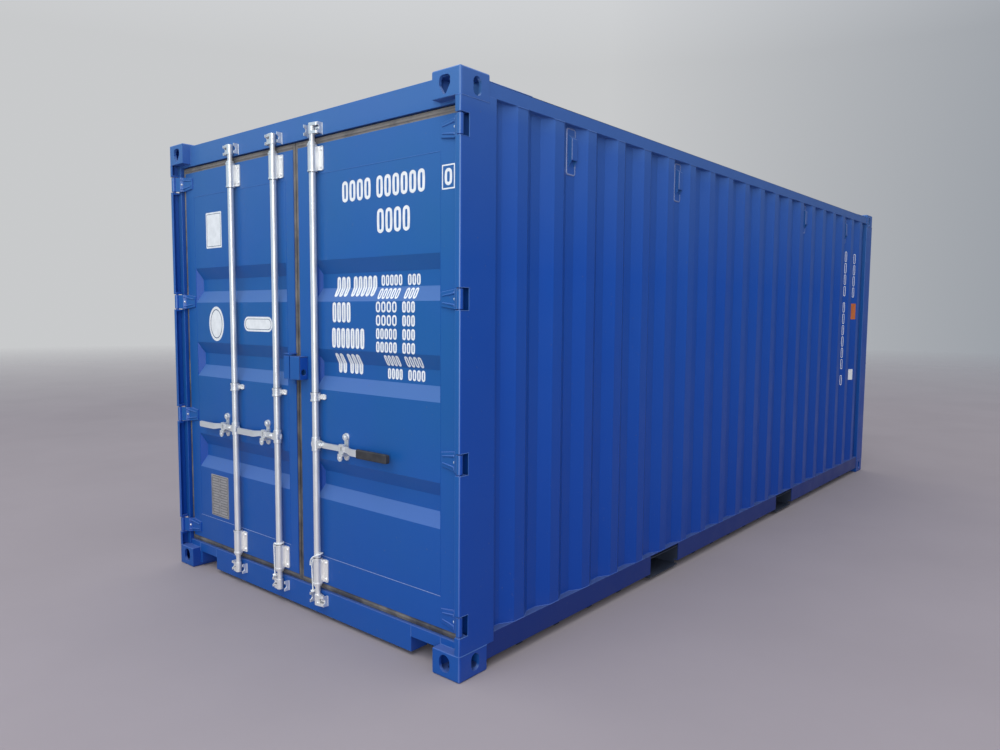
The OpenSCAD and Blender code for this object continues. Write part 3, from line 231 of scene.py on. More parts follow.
# Figures of the table, with units that are longer from row LONG_UNITS on
FIGURE_ROWS = 8
FIGURE_LOW = 1716
FIGURE_H = 51
FIGURE_STROKE = 9
FIGURE_PITCH = 62.4
FIGURE_END = 765
UNIT_START = 803
LONG_UNITS = 6
FIVE_FIGURES = (0, 1, 4, 5)
# Columns of zeros on slopes of the side wall: slope, top, gap between groups, groups
SIDE_COLUMNS = ((17, 2194, 45, (4, 6, 1)), (18, 2188, 0, (4,)))
SIDE_ZERO = (26, 96)
SIDE_ZERO_AT = 9
SIDE_ZERO_STROKE = 6
SIDE_ZERO_PITCH = 108
# The white patch and the orange tag on the last slope: distance from its edge, height
LAST_SLOPE = 18
PATCH_AT = (32, 1014)
TAG_AT = (34, 1632)

# Middles (lat, z) of the bare stickers and of the rating plate on the left leaf
SQUARE_AT = (-826, 2067)
OVAL_AT = (-819, 1518)
STRIP_AT = (-376, 1522)
PLATE_AT = (-823, 478)
PLATE_THICK = 2.0
# Rivets, and the fields' columns, rows, first row and pitch, all from the plate's middle
PLATE_RIVETS = (84, 113)
FIELD_COLUMNS = (-44, 44)
FIELD_ROWS = 7
FIELD_TOP = 96
FIELD_PITCH = 32


def point(s, y, z):
    return Vector((DOOR_X + s, y, z))


def around(count):
    """Angles of even steps round a circle."""
    return [2 * math.pi * i / count for i in range(count)]


def square_to(axis):
    """Unit vector along an axis, and two more that are square to it and to each other."""
    n = Vector(axis).normalized()
    u = n.orthogonal().normalized()
    return n, u, n.cross(u)


def carried(path, closed=False):
    """Each point of a path with two directions square to the path, turned as little as can be."""
    side = None
    last = len(path) - 1
    for i, p in enumerate(path):
        ahead = path[(i + 1) % len(path)] if closed else path[min(i + 1, last)]
        behind = path[i - 1] if closed or i > 0 else path[0]
        way = (ahead - behind).normalized()
        side = way.orthogonal() if side is None else side - way * side.dot(way)
        side.normalize()
        yield p, side, way.cross(side)


def smooth_path(points, per=5):
    """Catmull-Rom curve through points, with per steps between two of them."""
    ends = [points[0] * 2 - points[1]] + list(points) + [points[-1] * 2 - points[-2]]
    path = []
    for i in range(1, len(ends) - 2):
        a, b, c, d = ends[i - 1:i + 3]
        for k in range(per):
            t = k / per
            path.append(0.5 * ((2 * b) + (c - a) * t + (2 * a - 5 * b + 4 * c - d) * t * t
                               + (3 * b - a - 3 * c + d) * t ** 3))
    path.append(points[-1])
    return path


def rounded(w, h, r, steps=6):
    """Points of a rectangle of width w and height h round the origin, with corner radius r."""
    points = []
    for turn, (x, y) in enumerate(((1, -1), (1, 1), (-1, 1), (-1, -1))):
        for i in range(steps + 1):
            t = math.radians(-90 + 90 * turn + 90 * i / steps)
            points.append((x * (w / 2 - r) + r * math.cos(t), y * (h / 2 - r) + r * math.sin(t)))
    return points


def oval(rx, ry):
    """Points of an upright oval round the origin."""
    turns = [math.radians(6 * k) for k in range(60)]
    return [(rx * math.cos(t), ry * math.sin(t)) for t in turns]


def shrunk(outline, by):
    """An outline round the origin with its edges moved inwards."""
    wide = max(x for x, y in outline)
    tall = max(y for x, y in outline)
    return [(x * (1 - by / wide), y * (1 - by / tall)) for x, y in outline]


class Face:
    """A flat working plane: a runs to the right of someone looking at it, b up and c outwards."""

    def __init__(self, origin, right, up=(0, 0, 1)):
        self.origin = Vector(origin)
        self.right = Vector(right)
        self.up = Vector(up)
        self.out = self.right.cross(self.up)

    def at(self, a, b, c=0.0):
        return self.origin + self.right * a + self.up * b + self.out * c


def door_face(s):
    """Plane parallel to the doors, on which a is a lat and b a height."""
    return Face((DOOR_X + s, 0, 0), (0, -1, 0))


def slope_face(k):
    """Plane of the side wall's slope that looks towards the doors, after crest k at the right."""
    start = FIRST_CREST + SIDE_CREST / 2 + SIDE_SLOPE + k * SIDE_PITCH + SIDE_FLAT
    way = Vector((SIDE_SLOPE, -SIDE_DEPTH, 0)).normalized()
    return Face((DOOR_X + start, -(SIDE_Y - SIDE_DEPTH), 0), way)


class Piece:
    """Collects the faces of one new piece, with its points in millimetres."""

    def __init__(self):
        self.mesh = bmesh.new()

    def skin(self, rings, closed=False):
        """Joins rings of points with faces, and closes both ends or joins the last to the first."""
        rows = [[self.mesh.verts.new(Vector(p) * MM) for p in ring] for ring in rings]
        if not closed:
            self.mesh.faces.new(rows[0][::-1])
            self.mesh.faces.new(rows[-1])
        for k in range(len(rows) if closed else len(rows) - 1):
            a, b = rows[k], rows[(k + 1) % len(rows)]
            for i in range(len(a)):
                j = (i + 1) % len(a)
                self.mesh.faces.new((a[i], a[j], b[j], b[i]))

    def lathe(self, at, axis, profile, count=20):
        """Revolves (radius, height) steps round an axis through at."""
        n, u, v = square_to(axis)
        rings = []
        for r, h in profile:
            rings.append([at + n * h + (u * math.cos(t) + v * math.sin(t)) * r
                          for t in around(count)])
        self.skin(rings)

    def sleeve(self, at, axis, inner, outer, low, high, count=32):
        """A ring round an axis, from radius inner to outer."""
        n, u, v = square_to(axis)
        soft = min(0.4, (high - low) / 4)
        section = ((inner, low), (outer - soft, low), (outer, low + soft),
                   (outer, high - soft), (outer - soft, high), (inner, high))
        rings = []
        for t in around(count):
            ray = u * math.cos(t) + v * math.sin(t)
            rings.append([at + n * h + ray * r for r, h in section])
        self.skin(rings, closed=True)

    def tube(self, path, radius, count=8, closed=False):
        """Round bar along a path; radius is one number or one for each point."""
        radii = radius if isinstance(radius, list) else [radius] * len(path)
        rings = []
        for (p, side, across), r in zip(carried(path, closed), radii):
            rings.append([p + (side * math.cos(t) + across * math.sin(t)) * r
                          for t in around(count)])
        self.skin(rings, closed)

    def bead(self, points, radius, step=7.0, closed=False):
        """Weld bead along a polyline, rippled as laid by hand."""
        line = list(points) + ([points[0]] if closed else [])
        path = []
        for a, b in zip(line, line[1:]):
            n = max(1, round((b - a).length / step))
            path += [a + (b - a) * k / n for k in range(n)]
        if not closed:
            path.append(line[-1])
        radii = [radius * (1 + 0.16 * math.sin(2.4 * i)) for i in range(len(path))]
        self.tube(path, radii, 6, closed)

    def plate(self, face, outline, a, b, low, high, edge=0.5):
        """Flat plate on a face round (a, b), from low to high above it, its front edge eased."""
        rings = []
        for by, c in ((0, low), (0, high - edge), (edge, high)):
            rings.append([face.at(a + x, b + y, c) for x, y in shrunk(outline, by)])
        self.skin(rings)

    def rim(self, face, outline, a, b, width, low, high):
        """Raised border of that width along the inside of an outline."""
        rings = []
        for (x, y), (p, q) in zip(outline, shrunk(outline, width)):
            rings.append([face.at(a + x, b + y, low), face.at(a + x, b + y, high),
                          face.at(a + p, b + q, high), face.at(a + p, b + q, low)])
        self.skin(rings, closed=True)

    def rivet(self, at, axis, r):
        dome = ((1, 0), (0.98, 0.18), (0.84, 0.40), (0.55, 0.56), (0.15, 0.62))
        self.lathe(at, axis, [(r * out, r * up) for out, up in dome], 16)

    def bolt(self, at, axis, size):
        """Washer and hexagon head, size being the washer's radius."""
        n = Vector(axis).normalized()
        self.lathe(at, n, ((size, -0.3), (size, size * 0.12), (size * 0.93, size * 0.18)), 24)
        head = ((size * 0.78, 0), (size * 0.78, size * 0.38), (size * 0.66, size * 0.5))
        self.lathe(at + n * size * 0.16, n, head, 6)

    def zero(self, face, a, b, w, h, stroke, depth=None):
        """Plain zero with its lower left corner at (a, b), sunk by depth where that is given."""
        rings = []
        low, high = FILM
        for t in around(80):
            row = []
            for c, inset in ((low, 0), (high, 0), (high, stroke), (low, stroke)):
                rx, ry = w / 2 - inset, h / 2 - inset
                bend = min(1.0, abs(math.sin(t)) * 2.2)
                x = rx * math.cos(t)
                y = rx * math.sin(t) + math.copysign(ry - rx, math.sin(t)) * bend
                level = b + h / 2 + y
                row.append(face.at(a + w / 2 + x, level, c - (depth(level) if depth else 0)))
            rings.append(row)
        self.skin(rings, closed=True)

    def zeros(self, face, start, end, low, high, groups, stroke, depth=None):
        """A row of plain zeros from start to end, with a gap between the groups."""
        cells = sum(groups) + 0.55 * (len(groups) - 1)
        pitch = (end - start) / (cells - 0.18)
        at = start
        for group in groups:
            for _ in range(group):
                self.zero(face, at, low, pitch * 0.82, high - low, stroke, depth)
                at += pitch
            at += 0.55 * pitch

    def place(self, name, body, slot, material, sharp=35):
        bmesh.ops.recalc_face_normals(self.mesh, faces=self.mesh.faces)
        data = bpy.data.meshes.new(name)
        self.mesh.to_mesh(data)
        self.mesh.free()
        data.polygons.foreach_set("use_smooth", [True] * len(data.polygons))
        data.set_sharp_from_angle(angle=math.radians(sharp))
        data.materials.append(material)
        made = bpy.data.objects.new(name, data)
        bpy.context.scene.collection.objects.link(made)
        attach(made, body)
        return made


class Graph:
    """Adds nodes to a node tree; each method but node and feed returns the new node's output."""

    def __init__(self, tree):
        self.tree = tree

    def node(self, kind, **inputs):
        made = self.tree.nodes.new("ShaderNode" + kind)
        for key, value in inputs.items():
            self.feed(made.inputs[key.replace("_", " ")], value)
        return made

    def feed(self, socket, value):
        if isinstance(value, bpy.types.NodeSocket):
            self.tree.links.new(value, socket)
        else:
            socket.default_value = value

    def ramp(self, value, low, high, start=0.0, end=1.0):
        """value from low to high mapped to start to end, clamped."""
        made = self.node("MapRange", Value=value)
        made.inputs["From Min"].default_value = low
        made.inputs["From Max"].default_value = high
        made.inputs["To Min"].default_value = start
        made.inputs["To Max"].default_value = end
        return made.outputs["Result"]

    def mix(self, factor, a, b):
        made = self.tree.nodes.new("ShaderNodeMix")
        made.data_type = "RGBA"
        self.feed(made.inputs[0], factor)
        self.feed(made.inputs[6], a)
        self.feed(made.inputs[7], b)
        return made.outputs[2]

    def maths(self, operation, a, b):
        made = self.tree.nodes.new("ShaderNodeMath")
        made.operation = operation
        made.use_clamp = True
        self.feed(made.inputs[0], a)
        self.feed(made.inputs[1], b)
        return made.outputs[0]

    def times(self, a, b):
        return self.maths("MULTIPLY", a, b)

    def vector(self, operation, a, b=(0, 0, 0), output="Value"):
        made = self.tree.nodes.new("ShaderNodeVectorMath")
        made.operation = operation
        self.feed(made.inputs[0], a)
        self.feed(made.inputs[1], b)
        return made.outputs[output]

    def axis(self, vector, letter):
        return self.node("SeparateXYZ", Vector=vector).outputs[letter]


class Shader(Graph):
    """Builds one node material."""

    def __init__(self, name):
        self.material = bpy.data.materials.new(name)
        self.material.use_nodes = True
        super().__init__(self.material.node_tree)
        self.surface = self.tree.nodes["Principled BSDF"]

    def place(self, scale=(1, 1, 1)):
        """Object coordinates in metres, stretched by scale."""
        where = self.node("TexCoord").outputs["Object"]
        return self.node("Mapping", Vector=where, Scale=scale).outputs["Vector"]

    def height(self):
        """Height above the ground in metres."""
        return self.axis(self.place(), "Z")

    def noise(self, scale, detail=4.0, rough=0.55, stretch=(1, 1, 1)):
        made = self.node("TexNoise", Vector=self.place(stretch), Scale=scale, Detail=detail,
                         Roughness=rough)
        return made.outputs["Fac"]

    def bump(self, height, distance, strength=1.0, under=None):
        made = self.node("Bump", Height=height, Distance=distance, Strength=strength)
        if under is not None:
            self.feed(made.inputs["Normal"], under)
        return made.outputs["Normal"]

    def finish(self, colour, rough, normal=None, metallic=0.0, specular=0.5):
        self.feed(self.surface.inputs["Base Color"], colour)
        self.feed(self.surface.inputs["Roughness"], rough)
        self.surface.inputs["Metallic"].default_value = metallic
        self.surface.inputs["Specular IOR Level"].default_value = specular
        if normal is not None:
            self.feed(self.surface.inputs["Normal"], normal)
        return self.material


def paint(name="blue_paint", shade=0.0):
    """Blue container paint, with shade as the share of painted shade.

    It is faded in patches and streaks and dusty low down. Faces turned to the doors take painted
    light and sky reflection, lighter and greener. Painted shade darkens it towards the ground, it
    is paler towards the roof, top faces take painted light from above, and the posts' rounded
    corners show wear with a painted highlight.
    """
    s = Shader(name)
    normal = s.node("TexCoord").outputs["Normal"]
    facing = s.axis(normal, "X")
    height = s.height()
    doors = s.ramp(facing, -0.9, -0.5, 1.0, 0.0)
    # Painted light and sky reflection on faces turned to the doors
    colour = s.mix(doors, BLUE, BLUE_DOORS_LIT)
    fade = s.ramp(s.noise(1.3, 3), 0.35, 0.7)
    colour = s.mix(s.times(fade, 0.4), colour, BLUE_FADED)
    streak = s.ramp(s.noise(3.0, 3, stretch=(1, 1, 0.12)), 0.45, 0.75)
    colour = s.mix(s.times(streak, 0.25), colour, BLUE_FADED)
    # Rounded post corners: worn paint and a painted highlight
    bevel = s.times(s.ramp(facing, -0.93, -0.82), s.ramp(facing, -0.66, -0.56, 1.0, 0.0))
    width = s.axis(s.vector("ABSOLUTE", s.place(), output="Vector"), "Y")
    bevel = s.times(bevel, s.ramp(width, 1.14, 1.16))
    colour = s.mix(s.times(bevel, 0.8), colour, BLUE_WEAR_AND_LIGHT)
    # Painted shade: darker towards the ground, less on faces turned to the doors
    low_shade = s.times(s.ramp(height, 0.2, 1.7, 0.9, 0.0), s.ramp(doors, 0.0, 1.0, 1.0, 0.55))
    colour = s.mix(low_shade, colour, BLUE_LOW_SHADE)
    # Paler towards the roof, and more so from 2.42 m up
    colour = s.mix(s.ramp(height, 1.8, 2.6, 0.0, 0.4), colour, BLUE_PALE_HIGH)
    colour = s.mix(s.ramp(height, 2.42, 2.50, 0.0, 0.3), colour, BLUE_PALE_HIGH)
    low = s.times(s.ramp(height, 0.0, 0.25, 1.0, 0.0), s.ramp(doors, 0.0, 1.0, 1.0, 0.15))
    grime = s.times(low, s.ramp(s.noise(6, 6), 0.30, 0.65))
    colour = s.mix(s.times(grime, 0.16), colour, BLUE_DUST)
    # Painted shade on the bottom rails' recessed web
    colour = s.mix(shade, colour, BLUE_SHADE)
    # Top faces: painted light from above
    upward = s.ramp(s.axis(normal, "Z"), 0.15, 0.5, 0.0, 0.33)
    colour = s.mix(upward, colour, BLUE_WEAR_AND_LIGHT)
    speck = s.ramp(s.noise(60, 2), 0.71, 0.74)
    colour = s.mix(s.times(speck, 0.25), colour, BLUE_DUST)
    rough = s.ramp(s.noise(5, 5), 0.3, 0.7, 0.30, 0.45)
    waves = s.bump(s.noise(2.2, 2), 0.012, 0.35)
    peel = s.bump(s.noise(420, 2), 0.0004, 0.25, waves)
    return s.finish(colour, rough, peel, specular=0.24)


def zinc():
    """Bright galvanised steel with faint spangle and duller patches, with painted light brightening
    it near the ground.
    """
    s = Shader("galvanised")
    spangle = s.node("TexVoronoi", Vector=s.place(), Scale=160.0).outputs["Color"]
    patch = s.ramp(s.noise(14, 5), 0.35, 0.7)
    colour = s.mix(s.times(s.axis(spangle, "X"), 0.1), ZINC, ZINC_DARK)
    colour = s.mix(s.times(patch, 0.25), colour, ZINC_DARK)
    # Painted light: brighter near the ground
    colour = s.mix(s.ramp(s.height(), 0.15, 0.8, 0.85, 0.0), colour, ZINC_LOW_LIGHT)
    rough = s.ramp(s.noise(12, 3), 0.3, 0.7, 0.30, 0.38)
    return s.finish(colour, rough, s.bump(s.noise(260, 3), 0.0002, 0.08), metallic=0.62)


def rubber():
    """Black-brown door seal, dusty in patches and paler towards the header."""
    s = Shader("seal_rubber")
    dust_and_paling = s.ramp(s.noise(9, 6), 0.4, 0.75)
    # Paler towards the header
    dust_and_paling = s.maths("ADD", dust_and_paling, s.ramp(s.height(), 1.6, 2.4, 0.0, 0.6))
    colour = s.mix(s.times(dust_and_paling, 0.7), RUBBER, RUBBER_PALE)
    normal = s.bump(s.noise(120, 4), 0.001, 0.3)
    return s.finish(colour, s.ramp(dust_and_paling, 0, 1, 0.42, 0.8), normal, specular=0.4)


def undercoat():
    """Dark waxy coat on the underside."""
    s = Shader("underside_paint")
    patch = s.ramp(s.noise(4, 6), 0.35, 0.7)
    normal = s.bump(s.noise(50, 5), 0.002, 0.4)
    return s.finish(s.mix(patch, WAX, WAX_DUSTY), s.ramp(patch, 0, 1, 0.6, 0.85), normal)


def plywood():
    """Reddish-brown sealed plywood with long grain and trodden dust."""
    s = Shader("floor_wood")
    grain = s.noise(9, 8, 0.65, stretch=(0.6, 9, 9))
    colour = s.mix(s.ramp(grain, 0.35, 0.68), PLY, PLY_PALE)
    colour = s.mix(s.ramp(s.noise(2.5, 6), 0.45, 0.8, 0, 0.4), colour, PLY_DUST)
    rough = s.ramp(s.noise(6, 4), 0.3, 0.7, 0.45, 0.7)
    return s.finish(colour, rough, s.bump(grain, 0.0015, 0.4))


def grip():
    """Moulded dark grey plastic."""
    s = Shader("grip_plastic")
    colour = s.mix(s.ramp(s.noise(18, 5), 0.4, 0.7), PLASTIC, PLASTIC_WORN)
    return s.finish(colour, 0.55, s.bump(s.noise(500, 2), 0.0005, 0.4))


def rope():
    """White nylon rope."""
    s = Shader("cord")
    soil = s.ramp(s.noise(40, 5), 0.45, 0.8)
    colour = s.mix(s.times(soil, 0.4), NYLON, NYLON_SOILED)
    return s.finish(colour, 0.8, s.bump(s.noise(900, 3), 0.0004, 0.5))


def coat(name, colour, worn=0.75):
    """Sticker, painted mark, small plate or bead, dulled in patches to the share worn."""
    s = Shader(name)
    dulled = tuple(worn * c for c in colour[:3]) + (1,)
    shade = s.mix(s.ramp(s.noise(25, 5), 0.4, 0.75), colour, dulled)
    rough = s.ramp(s.noise(12, 3), 0.3, 0.7, 0.35, 0.5)
    return s.finish(shade, rough, s.bump(s.noise(90, 3), 0.0004, 0.25))


def make_camera():
    """Camera at the photograph's place, looking along its turn, tilt and roll."""
    flat = math.cos(CAMERA_TILT)
    ahead = Vector((math.cos(CAMERA_TURN) * flat, math.sin(CAMERA_TURN) * flat,
                    math.sin(CAMERA_TILT)))
    level = Vector((math.sin(CAMERA_TURN), -math.cos(CAMERA_TURN), 0))
    upright = level.cross(ahead)
    right = math.cos(CAMERA_ROLL) * level + math.sin(CAMERA_ROLL) * upright
    up = -math.sin(CAMERA_ROLL) * level + math.cos(CAMERA_ROLL) * upright
    data = bpy.data.cameras.new("camera")
    data.lens = CAMERA_LENS
    data.sensor_width = SENSOR_WIDTH
    camera = bpy.data.objects.new("camera", data)
    bpy.context.scene.collection.objects.link(camera)
    turn = Matrix((right, up, -ahead)).transposed().to_4x4()
    camera.matrix_world = Matrix.Translation(CAMERA_AT) @ turn
    bpy.context.scene.camera = camera


def make_lights():
    """Soft sky, bluer towards the doors and dimmer off the long side, and three soft lamps."""
    world = bpy.data.worlds.new("sky")
    bpy.context.scene.world = world
    world.use_nodes = True
    s = Graph(world.node_tree)
    way = s.node("TexCoord").outputs["Generated"]
    doors = s.ramp(s.vector("DOT_PRODUCT", way, (-0.97, 0.24, 0)), 0.0, 0.8)
    side = s.ramp(s.vector("DOT_PRODUCT", way, (0.62, -0.78, 0)), 0.1, 0.8)
    above = s.ramp(s.vector("DOT_PRODUCT", way, (0, 0, 1)), 0.3, 0.9)
    colour = s.mix(doors, SKY, SKY_AT_DOORS)
    colour = s.mix(side, colour, SKY_AT_SIDE)
    colour = s.mix(above, colour, SKY_ABOVE)
    back = world.node_tree.nodes["Background"]
    s.feed(back.inputs["Color"], colour)
    back.inputs["Strength"].default_value = 1.0
    for name, (at, target, wide, tall, watts) in LAMPS.items():
        data = bpy.data.lights.new(name, "AREA")
        data.shape = "RECTANGLE"
        data.size = wide
        data.size_y = tall
        data.energy = watts
        lamp = bpy.data.objects.new(name, data)
        bpy.context.scene.collection.objects.link(lamp)
        lamp.location = at
        way = Vector(target) - Vector(at)
        lamp.rotation_euler = way.to_track_quat("-Z", "Y").to_euler()


def make_floor():
    """Pale studio floor under the container, which thins out into the sky far away."""
    bpy.ops.mesh.primitive_plane_add(size=160, location=(0, 0, 0))
    floor = bpy.context.object
    floor.name = "studio_floor"
    s = Shader("studio_floor")
    colour = s.mix(s.ramp(s.noise(0.8, 5), 0.35, 0.7), STUDIO, STUDIO_DARK)
    far = s.vector("LENGTH", s.place())
    s.feed(s.surface.inputs["Alpha"], s.ramp(far, 9, 34, 1, 0))
    floor.data.materials.append(s.finish(colour, 0.9, specular=0.2))


def dress_nodes(materials):
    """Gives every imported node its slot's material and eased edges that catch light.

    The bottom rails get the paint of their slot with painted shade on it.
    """
    for part in frame["record"]["subparts"]:
        node = NODES[part["node"]]
        slot = part["material_slot"]
        node.data.materials.clear()
        node.data.materials.append(
            materials["rail_painted_shade" if "bottom_rail" in part["node"] else slot])
        weld = node.modifiers.new("weld", "WELD")
        weld.merge_threshold = 0.00002
        ease = node.modifiers.new("ease", "BEVEL")
        ease.limit_method = "ANGLE"
        ease.angle_limit = EASE_ANGLE
        usual = EASE_ZINC if slot == "galvanised" else EASE
        ease.width = EASES.get(part["node"], usual) * MM
        ease.segments = 2
        even = node.modifiers.new("even", "WEIGHTED_NORMAL")
        even.weight = 80


def make_knot(name, at, way, body, material):
    """Overhand knot, drawn tight, at the end of a cord that arrives along way."""
    n, u, v = square_to(way)
    path = []
    for t in around(72):
        r = KNOT_RADIUS + KNOT_WAVE * math.cos(3 * t)
        path.append(at + u * r * math.cos(2 * t) + v * r * math.sin(2 * t)
                    + n * KNOT_WAVE * math.sin(3 * t))
    piece = Piece()
    piece.tube(path, KNOT_CORD, 12, closed=True)
    return piece.place(name, body, "cord", material, 60)


def make_cord(name, route, rod, body, node, exit_first, material):
    """Three-strand rope along a route, with its real length measured on the same path."""
    points = [point(s, -(RODS[rod] + lat), z) for s, lat, z in route]
    if not exit_first:
        points.reverse()
    path = smooth_path(points)
    piece = Piece()
    rings = []
    along = 0.0
    for i, (p, side, across) in enumerate(carried(path)):
        along += (p - path[i - 1]).length if i else 0.0
        twist = 2 * math.pi * along / CORD_TWIST
        ring = []
        for t in around(24):
            r = CORD_D / 2 * (0.87 + 0.13 * abs(math.cos(1.5 * t)))
            ring.append(p + (side * math.cos(t + twist) + across * math.sin(t + twist)) * r)
        rings.append(ring)
    piece.skin(rings)
    cap = ((3.6, 0), (4.1, 1.0), (4.1, 5.6), (3.4, 6.4))
    for end, way in ((path[0], path[0] - path[1]), (path[-1], path[-1] - path[-2])):
        piece.lathe(end - way.normalized() * 6, way, cap, 18)
    made = piece.place(name, body, "cord", material, 60)
    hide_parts(node)
    knot = make_knot(name + "_knot", path[-1], path[-1] - path[-2], body, material)
    metres = [p * MM for p in path]
    length = sum((b - a).length for a, b in zip(metres, metres[1:]))
    tuple(metres[0])


def sunk(z):
    """Depth of a door panel's pressed groove at a height."""
    near = min(abs(z - g) for g in GROOVES)
    return GROOVE_DEPTH * min(1.0, max(0.0, (GROOVE_REACH - near) / GROOVE_SLOPE))


def make_markings(materials):
    """Plain zeros where the photograph has painted letters and numbers."""
    face = door_face(LEAF_S)
    piece = Piece()
    for start, end, low, high, groups, stroke in CODE_ROWS:
        piece.zeros(face, start, end, low, high, groups, stroke, sunk)
    piece.rim(face, rounded(76, 104, 3), *CODE_FRAME, 6, *FILM)
    for k, (start, end, groups) in enumerate(WORDS):
        low, high = (z - WORD_PITCH * k for z in WORD_EDGES)
        piece.zeros(face, start, end, low, high, groups, WORD_STROKE, sunk)
    for k in range(FIGURE_ROWS):
        low = FIGURE_LOW - FIGURE_PITCH * k
        high = low + FIGURE_H
        start, unit_end, units = (621, 886, 3) if k < LONG_UNITS else (663, 915, 4)
        figures = 5 if k in FIVE_FIGURES else 4
        for left, right, count in ((start, FIGURE_END, figures), (UNIT_START, unit_end, units)):
            piece.zeros(face, left, right, low, high, (count,), FIGURE_STROKE, sunk)
    piece.place("door_marks", "right_door", None, materials["marking"])

    piece = Piece()
    w, h = SIDE_ZERO
    for k, top, gap, groups in SIDE_COLUMNS:
        z = top
        for group in groups:
            for _ in range(group):
                piece.zero(slope_face(k), SIDE_ZERO_AT, z - h, w, h, SIDE_ZERO_STROKE)
                z -= SIDE_ZERO_PITCH
            z -= gap
    piece.plate(slope_face(LAST_SLOPE), rounded(56, 104, 4), *PATCH_AT, *FILM, 0.2)
    piece.place("side_marks", "container", None, materials["marking"])
    piece = Piece()
    piece.plate(slope_face(LAST_SLOPE), rounded(60, 152, 4), *TAG_AT, 0.05, 0.6, 0.2)
    piece.place("side_tag", "container", None, materials["tag"])


def make_stickers(materials):
    """Bare sheets, oval and rating plate on the left leaf."""
    face = door_face(LEAF_S)
    piece = Piece()
    piece.plate(face, rounded(172, 208, 5), *SQUARE_AT, 0.05, 0.6, 0.2)
    piece.plate(face, oval(82, 102), *OVAL_AT, 0.05, 0.6, 0.2)
    piece.plate(face, rounded(280, 82, 40), *STRIP_AT, 0.05, 0.9, 0.3)
    piece.place("stickers", "left_door", None, materials["marking"])
    piece = Piece()
    piece.rim(face, oval(66, 86), *OVAL_AT, 5, 0.4, 0.75)
    piece.rim(face, rounded(258, 60, 29), *STRIP_AT, 3, 0.7, 1.05)
    piece.rim(face, rounded(154, 190, 3), *SQUARE_AT, 3, 0.4, 0.75)
    piece.place("sticker_borders", "left_door", None, materials["print"])

    lat, z = PLATE_AT
    a, b = PLATE_RIVETS
    low, high = PLATE_THICK - 0.1, PLATE_THICK + 0.4
    piece = Piece()
    piece.plate(face, rounded(194, 252, 6), lat, z, 0, PLATE_THICK, 0.6)
    for at in ((-a, -b), (-a, b), (a, -b), (a, b)):
        piece.rivet(face.at(lat + at[0], z + at[1], low), face.out, 5)
    piece.place("rating_plate", "left_door", None, materials["plate"])
    piece = Piece()
    piece.rim(face, rounded(184, 242, 4), lat, z, 5, low, high)
    for row in range(FIELD_ROWS):
        level = z + FIELD_TOP - FIELD_PITCH * row
        for a in FIELD_COLUMNS:
            piece.rim(face, rounded(78, 22, 2), lat + a, level, 5, low, high)
    piece.place("rating_fields", "left_door", None, materials["plate_print"])


def side_line(offset):
    """Corners of a side wall's outer skin as (s, depth behind the crests), moved outwards."""
    line = [(SIDE_START, SIDE_DEPTH)]
    for k in range(SIDE_COUNT):
        middle = FIRST_CREST + k * SIDE_PITCH
        half = SIDE_CREST / 2
        line += [(middle - half - SIDE_SLOPE, SIDE_DEPTH), (middle - half, 0),
                 (middle + half, 0), (middle + half + SIDE_SLOPE, SIDE_DEPTH)]
    line.append((SIDE_END, SIDE_DEPTH))
    return [(s, depth - offset) for s, depth in line]


def make_frame_welds(materials):
    """Weld beads along the walls, posts, castings and hinge windows."""
    for side, y in (("left", 1), ("right", -1)):
        piece = Piece()
        for z in (RAIL_TOP + 1, RAIL_LOW - 1):
            piece.bead([point(s, y * (SIDE_Y - d), z) for s, d in side_line(0.5)], 2.6, 12)
        wall = y * (SIDE_Y - SIDE_DEPTH)
        for s in (SIDE_START, SIDE_END):
            piece.bead([point(s, wall, z) for z in (RAIL_TOP + 4, RAIL_LOW - 4)], 2.6, 12)
        piece.place(side + "_wall_welds", "container", "blue_paint", materials["blue_paint"])

    piece = Piece()
    low, high = CASTING_EDGES
    front = HEADER_S - 0.5
    for y in (-1, 1):
        for z in CASTING_EDGES:
            piece.bead([point(s, y * w, z) for s, w in DOOR_POST_BEAD], 2.2, 6)
            piece.bead([point(s, y * w, z) for s, w in END_POST_BEAD], 2.2, 8)
            piece.bead([point(front, y * w, z) for w in (CASTING_Y, JAMB_Y)], 2.2, 8)
    for y in (-1, 1):
        for ends in ((low, SILL_TOP), (high, HEADER_TOP)):
            piece.bead([point(front, y * (CASTING_Y + 0.5), z) for z in ends], 2.4, 8)
        for w in (CASTING_Y, NOTCH_Y):
            ends = (NOTCH_TOP, SILL_TOP - 1)
            piece.bead([point(HEADER_S - 0.4, y * w, z) for z in ends], 2.2, 8)
        for z in HINGES:
            for edge in (-WINDOW_EDGE, WINDOW_EDGE):
                piece.bead([point(s, y * WINDOW_Y, z + edge) for s in WINDOW_S], 1.5, 6)
    # Paler coat on these beads: worn paint with a painted highlight
    piece.place("frame_welds", "container", "blue_paint", materials["weld_wear_and_highlight"])


def make_vent_rims(materials):
    """Dusty bead of sealant round each vent's base plate, and one along its hood, paler with a
    painted highlight.
    """
    piece = Piece()
    for y in (-1, 1):
        for s in VENTS:
            middle = point(s, y * (SIDE_Y - SIDE_DEPTH + 0.6), VENT_Z)
            corners = rounded(VENT_W + 3, VENT_H + 3, 11, 4)
            piece.bead([middle + Vector((a, 0, b)) for a, b in corners], 4.0, 6, closed=True)
            hood = y * (SIDE_Y - SIDE_DEPTH + HOOD_DEPTH)
            piece.bead([point(s + HOOD_EDGE, hood, z) for z in HOOD_ENDS], 1.8, 8)
    # Pale sealant beads with a painted highlight
    piece.place("vent_rims", "container", "blue_paint", materials["sealant_and_highlight"])


